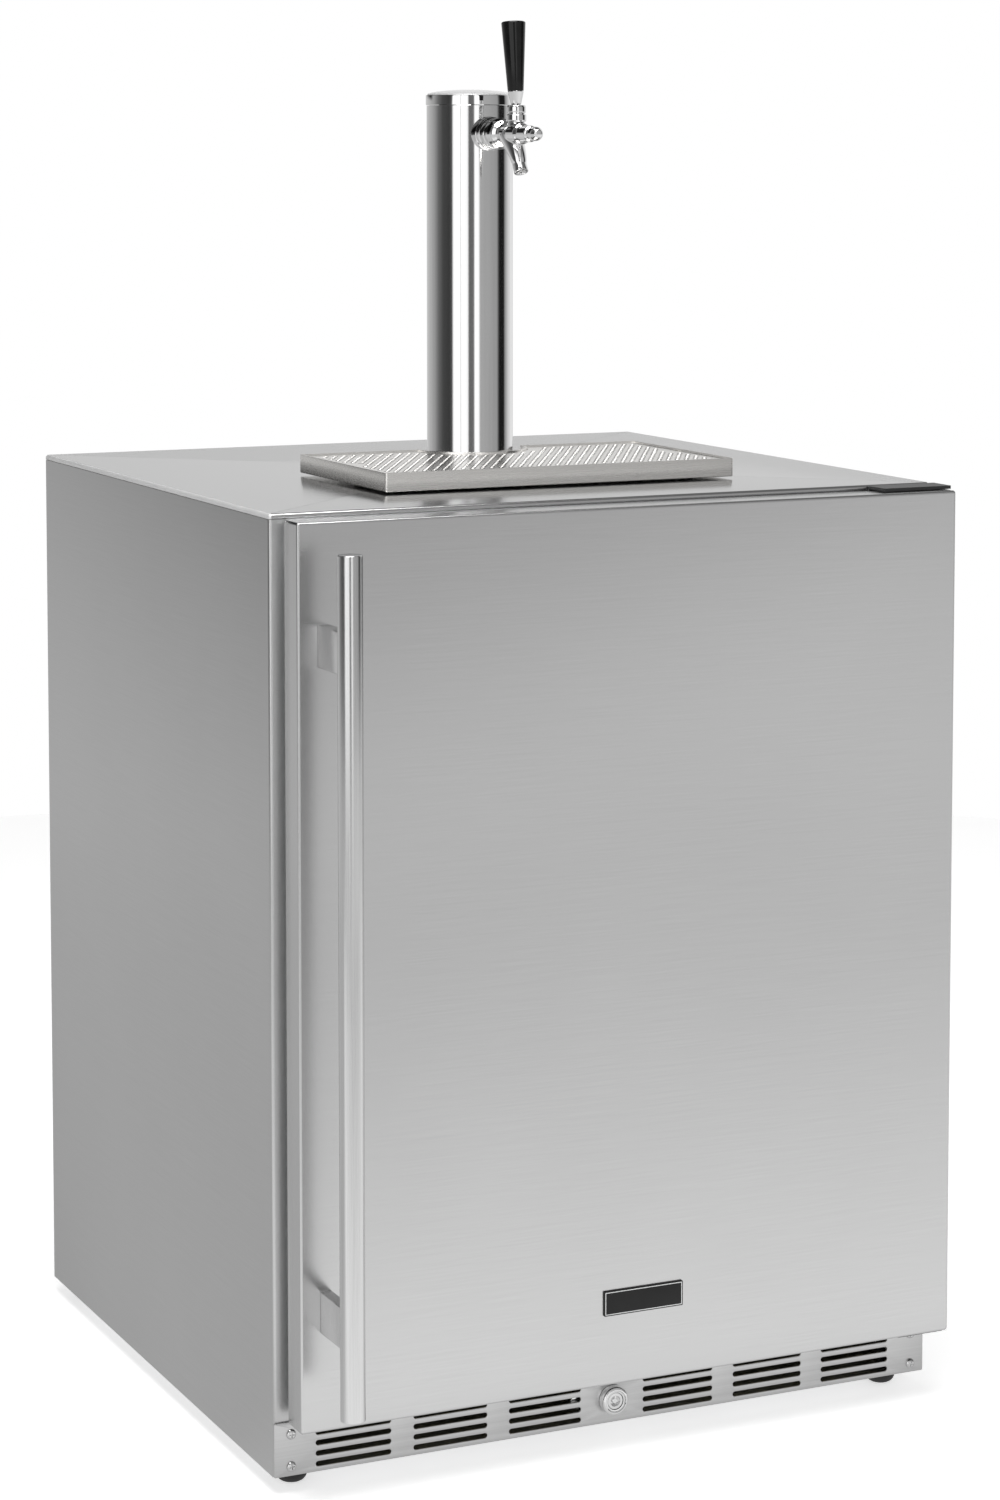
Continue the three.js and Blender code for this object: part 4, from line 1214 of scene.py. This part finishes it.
# The gas cylinder stands on the liner's step, its outlet to the left.
(_, CX1), (CY0, CY1), (CYLINDER_LOW, _) = span("co2_cylinder")
CYLINDER_R = 66.5
CYLINDER_X, CYLINDER_Y = CX1 - CYLINDER_R, (CY0 + CY1) / 2
OUTLET = 404  # height of the outlet on the cylinder
bottle = fillet(
    [
        (0, 3),
        (44, 3, 6),
        (50, 0, 3),
        (62, 5, 14),
        (CYLINDER_R, 16, 12),
        (CYLINDER_R, 300, 60),
        (56, 350, 30),
        (20, 373, 16),
        (15.5, 384, 2),
        (15.5, 392, 1),
        (12, 393, 1),
        (12, 419, 1.5),
        (6, 421, 0.5),
        (6, 430),
        (0, 430),
    ],
    10,
    False,
)
outlet_profile = fillet([(0, 0), (9, 0), (9, 30, 1), (0, 30)], 3, False)
valve_outlet = moved(turned(outlet_profile, 40), RIGHTWARD, -30, 0, OUTLET)
piece(
    "gas_bottle",
    moved(joined(turned(bottle, 96), valve_outlet), x=CYLINDER_X, y=CYLINDER_Y, z=CYLINDER_LOW),
    "cylinder_aluminium",
    "cabinet",
    "cylinder_aluminium",
    "co2_cylinder",
)

# The gas line hangs from the regulator in a loop, rises and runs under the ceiling to the coupler.
GAS_X = 72
VALVE_Z = CYLINDER_LOW + OUTLET
COUPLER_Y, COUPLER_Z = -132, 714
gas_route = [
    (GAS_X, CYLINDER_Y, VALVE_Z - 44.6),
    (GAS_X, CYLINDER_Y, VALVE_Z - 58),
    (GAS_X + 4, CYLINDER_Y - 14, VALVE_Z - 82),
    (GAS_X + 16, CYLINDER_Y - 42, VALVE_Z - 80),
    (GAS_X + 26, 62, VALVE_Z - 46),
    (GAS_X + 28, 42, VALVE_Z + 10),
    (GAS_X + 28, 30, VALVE_Z + 50),
    (GAS_X + 29, 10, VALVE_Z + 78),
    (GAS_X + 29, -24, COUPLER_Z - 1),
    (GAS_X + 27, -60, COUPLER_Z),
    (GAS_X + 20, -92, COUPLER_Z),
    (GAS_X - 2, -124, COUPLER_Z),
    (56, COUPLER_Y, COUPLER_Z),
    (42.6, COUPLER_Y, COUPLER_Z),
]
gas_line = swept(gas_route, GAS_LINE_R, 24, 5)
piece("gas_hose", gas_line, "red_hose", "cabinet", "red_hose", "gas_line")

# ------------------------------------------------------------------ floor, light and camera

# The floor shows as pale paper. What the steel reflects of it is a painted glow, dimmer beside and
# behind the object than in front, as a pool of light under a lamp that hangs before it.
floor_material = surface(
    "floor_paper", grey(0.84), grey(0.87), 0.7, 0.0, (40, 40, 40), 0.03, 0.1
)
floor_tree = floor_material.node_tree
floor_shader = floor_tree.nodes["Principled BSDF"]
floor_shader.inputs["Emission Color"].default_value = (1, 1, 1, 1)
floor_shader.inputs["Emission Strength"].default_value = 0.62
# Brightness in reflections, against metres from the front to the back.
FLOOR_LIGHT = [
    (-2.6, 0.62),
    (-1.9, 0.66),
    (-1.2, 0.80),
    (-0.75, 0.92),
    (-0.4, 1.04),
    (-0.25, 0.62),
    (-0.1, 0.54),
    (2.6, 0.56),
]
floor_place = floor_tree.nodes.new("ShaderNodeTexCoord")
floor_axes = floor_tree.nodes.new("ShaderNodeSeparateXYZ")
floor_tree.links.new(floor_place.outputs["Object"], floor_axes.inputs["Vector"])
floor_share = node(floor_tree, "ShaderNodeMapRange")
floor_share.inputs["From Min"].default_value = FLOOR_LIGHT[0][0]
floor_share.inputs["From Max"].default_value = FLOOR_LIGHT[-1][0]
floor_tree.links.new(floor_axes.outputs["Y"], floor_share.inputs["Value"])
floor_span = FLOOR_LIGHT[-1][0] - FLOOR_LIGHT[0][0]
floor_glow = ramp(
    floor_tree,
    [((y - FLOOR_LIGHT[0][0]) / floor_span, grey(value)) for y, value in FLOOR_LIGHT],
    floor_share.outputs["Result"],
)
painted_glow = floor_tree.nodes.new("ShaderNodeEmission")
floor_tree.links.new(floor_glow, painted_glow.inputs["Color"])
floor_mix = floor_tree.nodes.new("ShaderNodeMixShader")
floor_ray = floor_tree.nodes.new("ShaderNodeLightPath")
floor_tree.links.new(floor_ray.outputs["Is Camera Ray"], floor_mix.inputs["Fac"])
floor_tree.links.new(painted_glow.outputs["Emission"], floor_mix.inputs[1])
floor_tree.links.new(floor_shader.outputs["BSDF"], floor_mix.inputs[2])
floor_tree.links.new(
    floor_mix.outputs["Shader"], floor_tree.nodes["Material Output"].inputs["Surface"]
)
MATERIALS["floor_paper"] = floor_material
FLOOR_R = 2600
floor = build("floor", slab(circle(0, 0, FLOOR_R, 96), -6, -0.05, 1.0), "floor_paper")

# The camera's place in metres, how far it turns right and down, and its lens in millimetres.
CAMERA_PLACE = Vector((-1.33486, -2.87740, 1.09631))
YAW = math.radians(24.9589)
PITCH_DOWN = math.radians(4.8085)
LENS = 87.11928
SHIFT = -16 / 75
facing = Vector((math.sin(YAW), math.cos(YAW), 0))
sideways = Vector((math.cos(YAW), -math.sin(YAW), 0))

# The studio round the object, as brightness against degrees from the camera's side of it,
# growing to the right.
STUDIO = [
    (-180, 0.74),
    (-150, 0.60),
    (-128, 0.50),
    (-108, 0.36),
    (-92, 0.16),
    (-76, 0.07),
    (-56, 0.045),
    (-48, 0.09),
    (-44, 1.25),
    (-26, 1.4),
    (-24, 0.7),
    (-22, 1.4),
    (-5, 1.2),
    (-2, 0.14),
    (11, 0.17),
    (14, 1.3),
    (24, 1.3),
    (28, 0.46),
    (52, 0.42),
    (78, 0.36),
    (83, 0.10),
    (87, 0.012),
    (104, 0.012),
    (109, 0.30),
    (125, 0.72),
    (147, 0.95),
    (160, 0.78),
    (180, 0.74),
]
# The same below the horizon, and where a black flag stands.
LOW = [(-180, 0.62), (-60, 0.60), (0, 0.68), (60, 0.84), (110, 0.74), (180, 0.62)]
BLACK_FLAG = [(-180, 0.0), (-168, 0.0), (-160, 1.0), (-122, 1.0), (-112, 0.0), (180, 0.0)]
SKY_SCALE = 2.0  # a ramp holds values up to 1
CEILING = 0.15
FLAG = 0.015

world = bpy.data.worlds.new("studio")
bpy.context.scene.world = world
world.use_nodes = True
sky = world.node_tree
sky.nodes.clear()
way = sky.nodes.new("ShaderNodeTexCoord")


def along(axis):
    """How far the direction looked in points along an axis, from -1 to 1."""
    made = sky.nodes.new("ShaderNodeVectorMath")
    made.operation = "DOT_PRODUCT"
    sky.links.new(way.outputs["Generated"], made.inputs[0])
    made.inputs[1].default_value = axis
    return made.outputs["Value"]


def computed(operation, *inputs):
    made = sky.nodes.new("ShaderNodeMath")
    made.operation = operation
    for socket, value in zip(made.inputs, inputs):
        if isinstance(value, (int, float)):
            socket.default_value = value
        else:
            sky.links.new(value, socket)
    return made.outputs["Value"]


def eased(value, start, end):
    """0 before start and 1 after end, with a smooth rise between them."""
    made = sky.nodes.new("ShaderNodeMapRange")
    made.interpolation_type = "SMOOTHSTEP"
    made.inputs["From Min"].default_value = start
    made.inputs["From Max"].default_value = end
    sky.links.new(value, made.inputs["Value"])
    return made.outputs["Result"]


def mixed_sky(factor, low, high):
    """low where factor is 0 and high where it is 1, each a colour or a grey value."""
    made = sky.nodes.new("ShaderNodeMix")
    made.data_type = "VECTOR"
    sky.links.new(factor, made.inputs[0])
    vector_inputs = [s for s in made.inputs if s.type == "VECTOR"]
    for socket, value in zip(vector_inputs[-2:], (low, high)):
        if isinstance(value, float):
            socket.default_value = (value, value, value)
        else:
            sky.links.new(value, socket)
    return [s for s in made.outputs if s.type == "VECTOR"][0]


angle = computed("ARCTAN2", along(sideways), along(-facing))
share = computed("MULTIPLY_ADD", angle, 1 / (2 * math.pi), 0.5)


def ring_colour(ring, scale=1.0):
    """A ring of (degrees, value) stops as a colour that depends on the angle."""
    stops = [((degrees + 180) / 360, (value / scale,) * 3) for degrees, value in ring]
    return ramp(sky, stops, share)


scaled = sky.nodes.new("ShaderNodeVectorMath")
scaled.operation = "SCALE"
scaled.inputs["Scale"].default_value = SKY_SCALE
sky.links.new(ring_colour(STUDIO, SKY_SCALE), scaled.inputs[0])
height = along(Vector((0, 0, 1)))

# Overhead the ring fades to a dim ceiling.
lit = mixed_sky(eased(height, 0.42, 0.75), scaled.outputs["Vector"], CEILING)
# A black flag hangs above the horizon, behind on the left.
flagged = computed("MULTIPLY", eased(height, 0.05, 0.14), ring_colour(BLACK_FLAG))
lit = mixed_sky(flagged, lit, FLAG)
# Below the horizon a ring of its own stands for the floor's far parts.
lit = mixed_sky(eased(height, -0.04, -0.10), lit, ring_colour(LOW))
# The backdrop itself is white.
seen = sky.nodes.new("ShaderNodeLightPath")
lit = mixed_sky(seen.outputs["Is Camera Ray"], lit, 1.0)
background = sky.nodes.new("ShaderNodeBackground")
sky.links.new(lit, background.inputs["Color"])
output = sky.nodes.new("ShaderNodeOutputWorld")
sky.links.new(background.outputs["Background"], output.inputs["Surface"])


def softbox(name, place, target, size, power):
    light = bpy.data.lights.new(name, "AREA")
    light.shape = "SQUARE"
    light.size = size
    light.energy = power
    made = bpy.data.objects.new(name, light)
    bpy.context.scene.collection.objects.link(made)
    made.location = place
    made.rotation_euler = (target - place).to_track_quat("-Z", "Y").to_euler()


softbox("softbox_overhead", Vector((-0.4, -0.6, 3.0)), Vector((0, 0, 0.6)), 1.8, 60)

camera_data = bpy.data.cameras.new("camera")
camera = bpy.data.objects.new("camera", camera_data)
bpy.context.scene.collection.objects.link(camera)
bpy.context.scene.camera = camera
camera_data.sensor_width = 36
camera_data.lens = LENS
camera_data.shift_y = SHIFT
camera_data.dof.use_dof = False
camera_data.clip_end = 50
camera.location = CAMERA_PLACE
line = facing * math.cos(PITCH_DOWN) - Vector((0, 0, math.sin(PITCH_DOWN)))
camera.rotation_euler = line.to_track_quat("-Z", "Y").to_euler()
bpy.context.scene.view_settings.view_transform = "Standard"
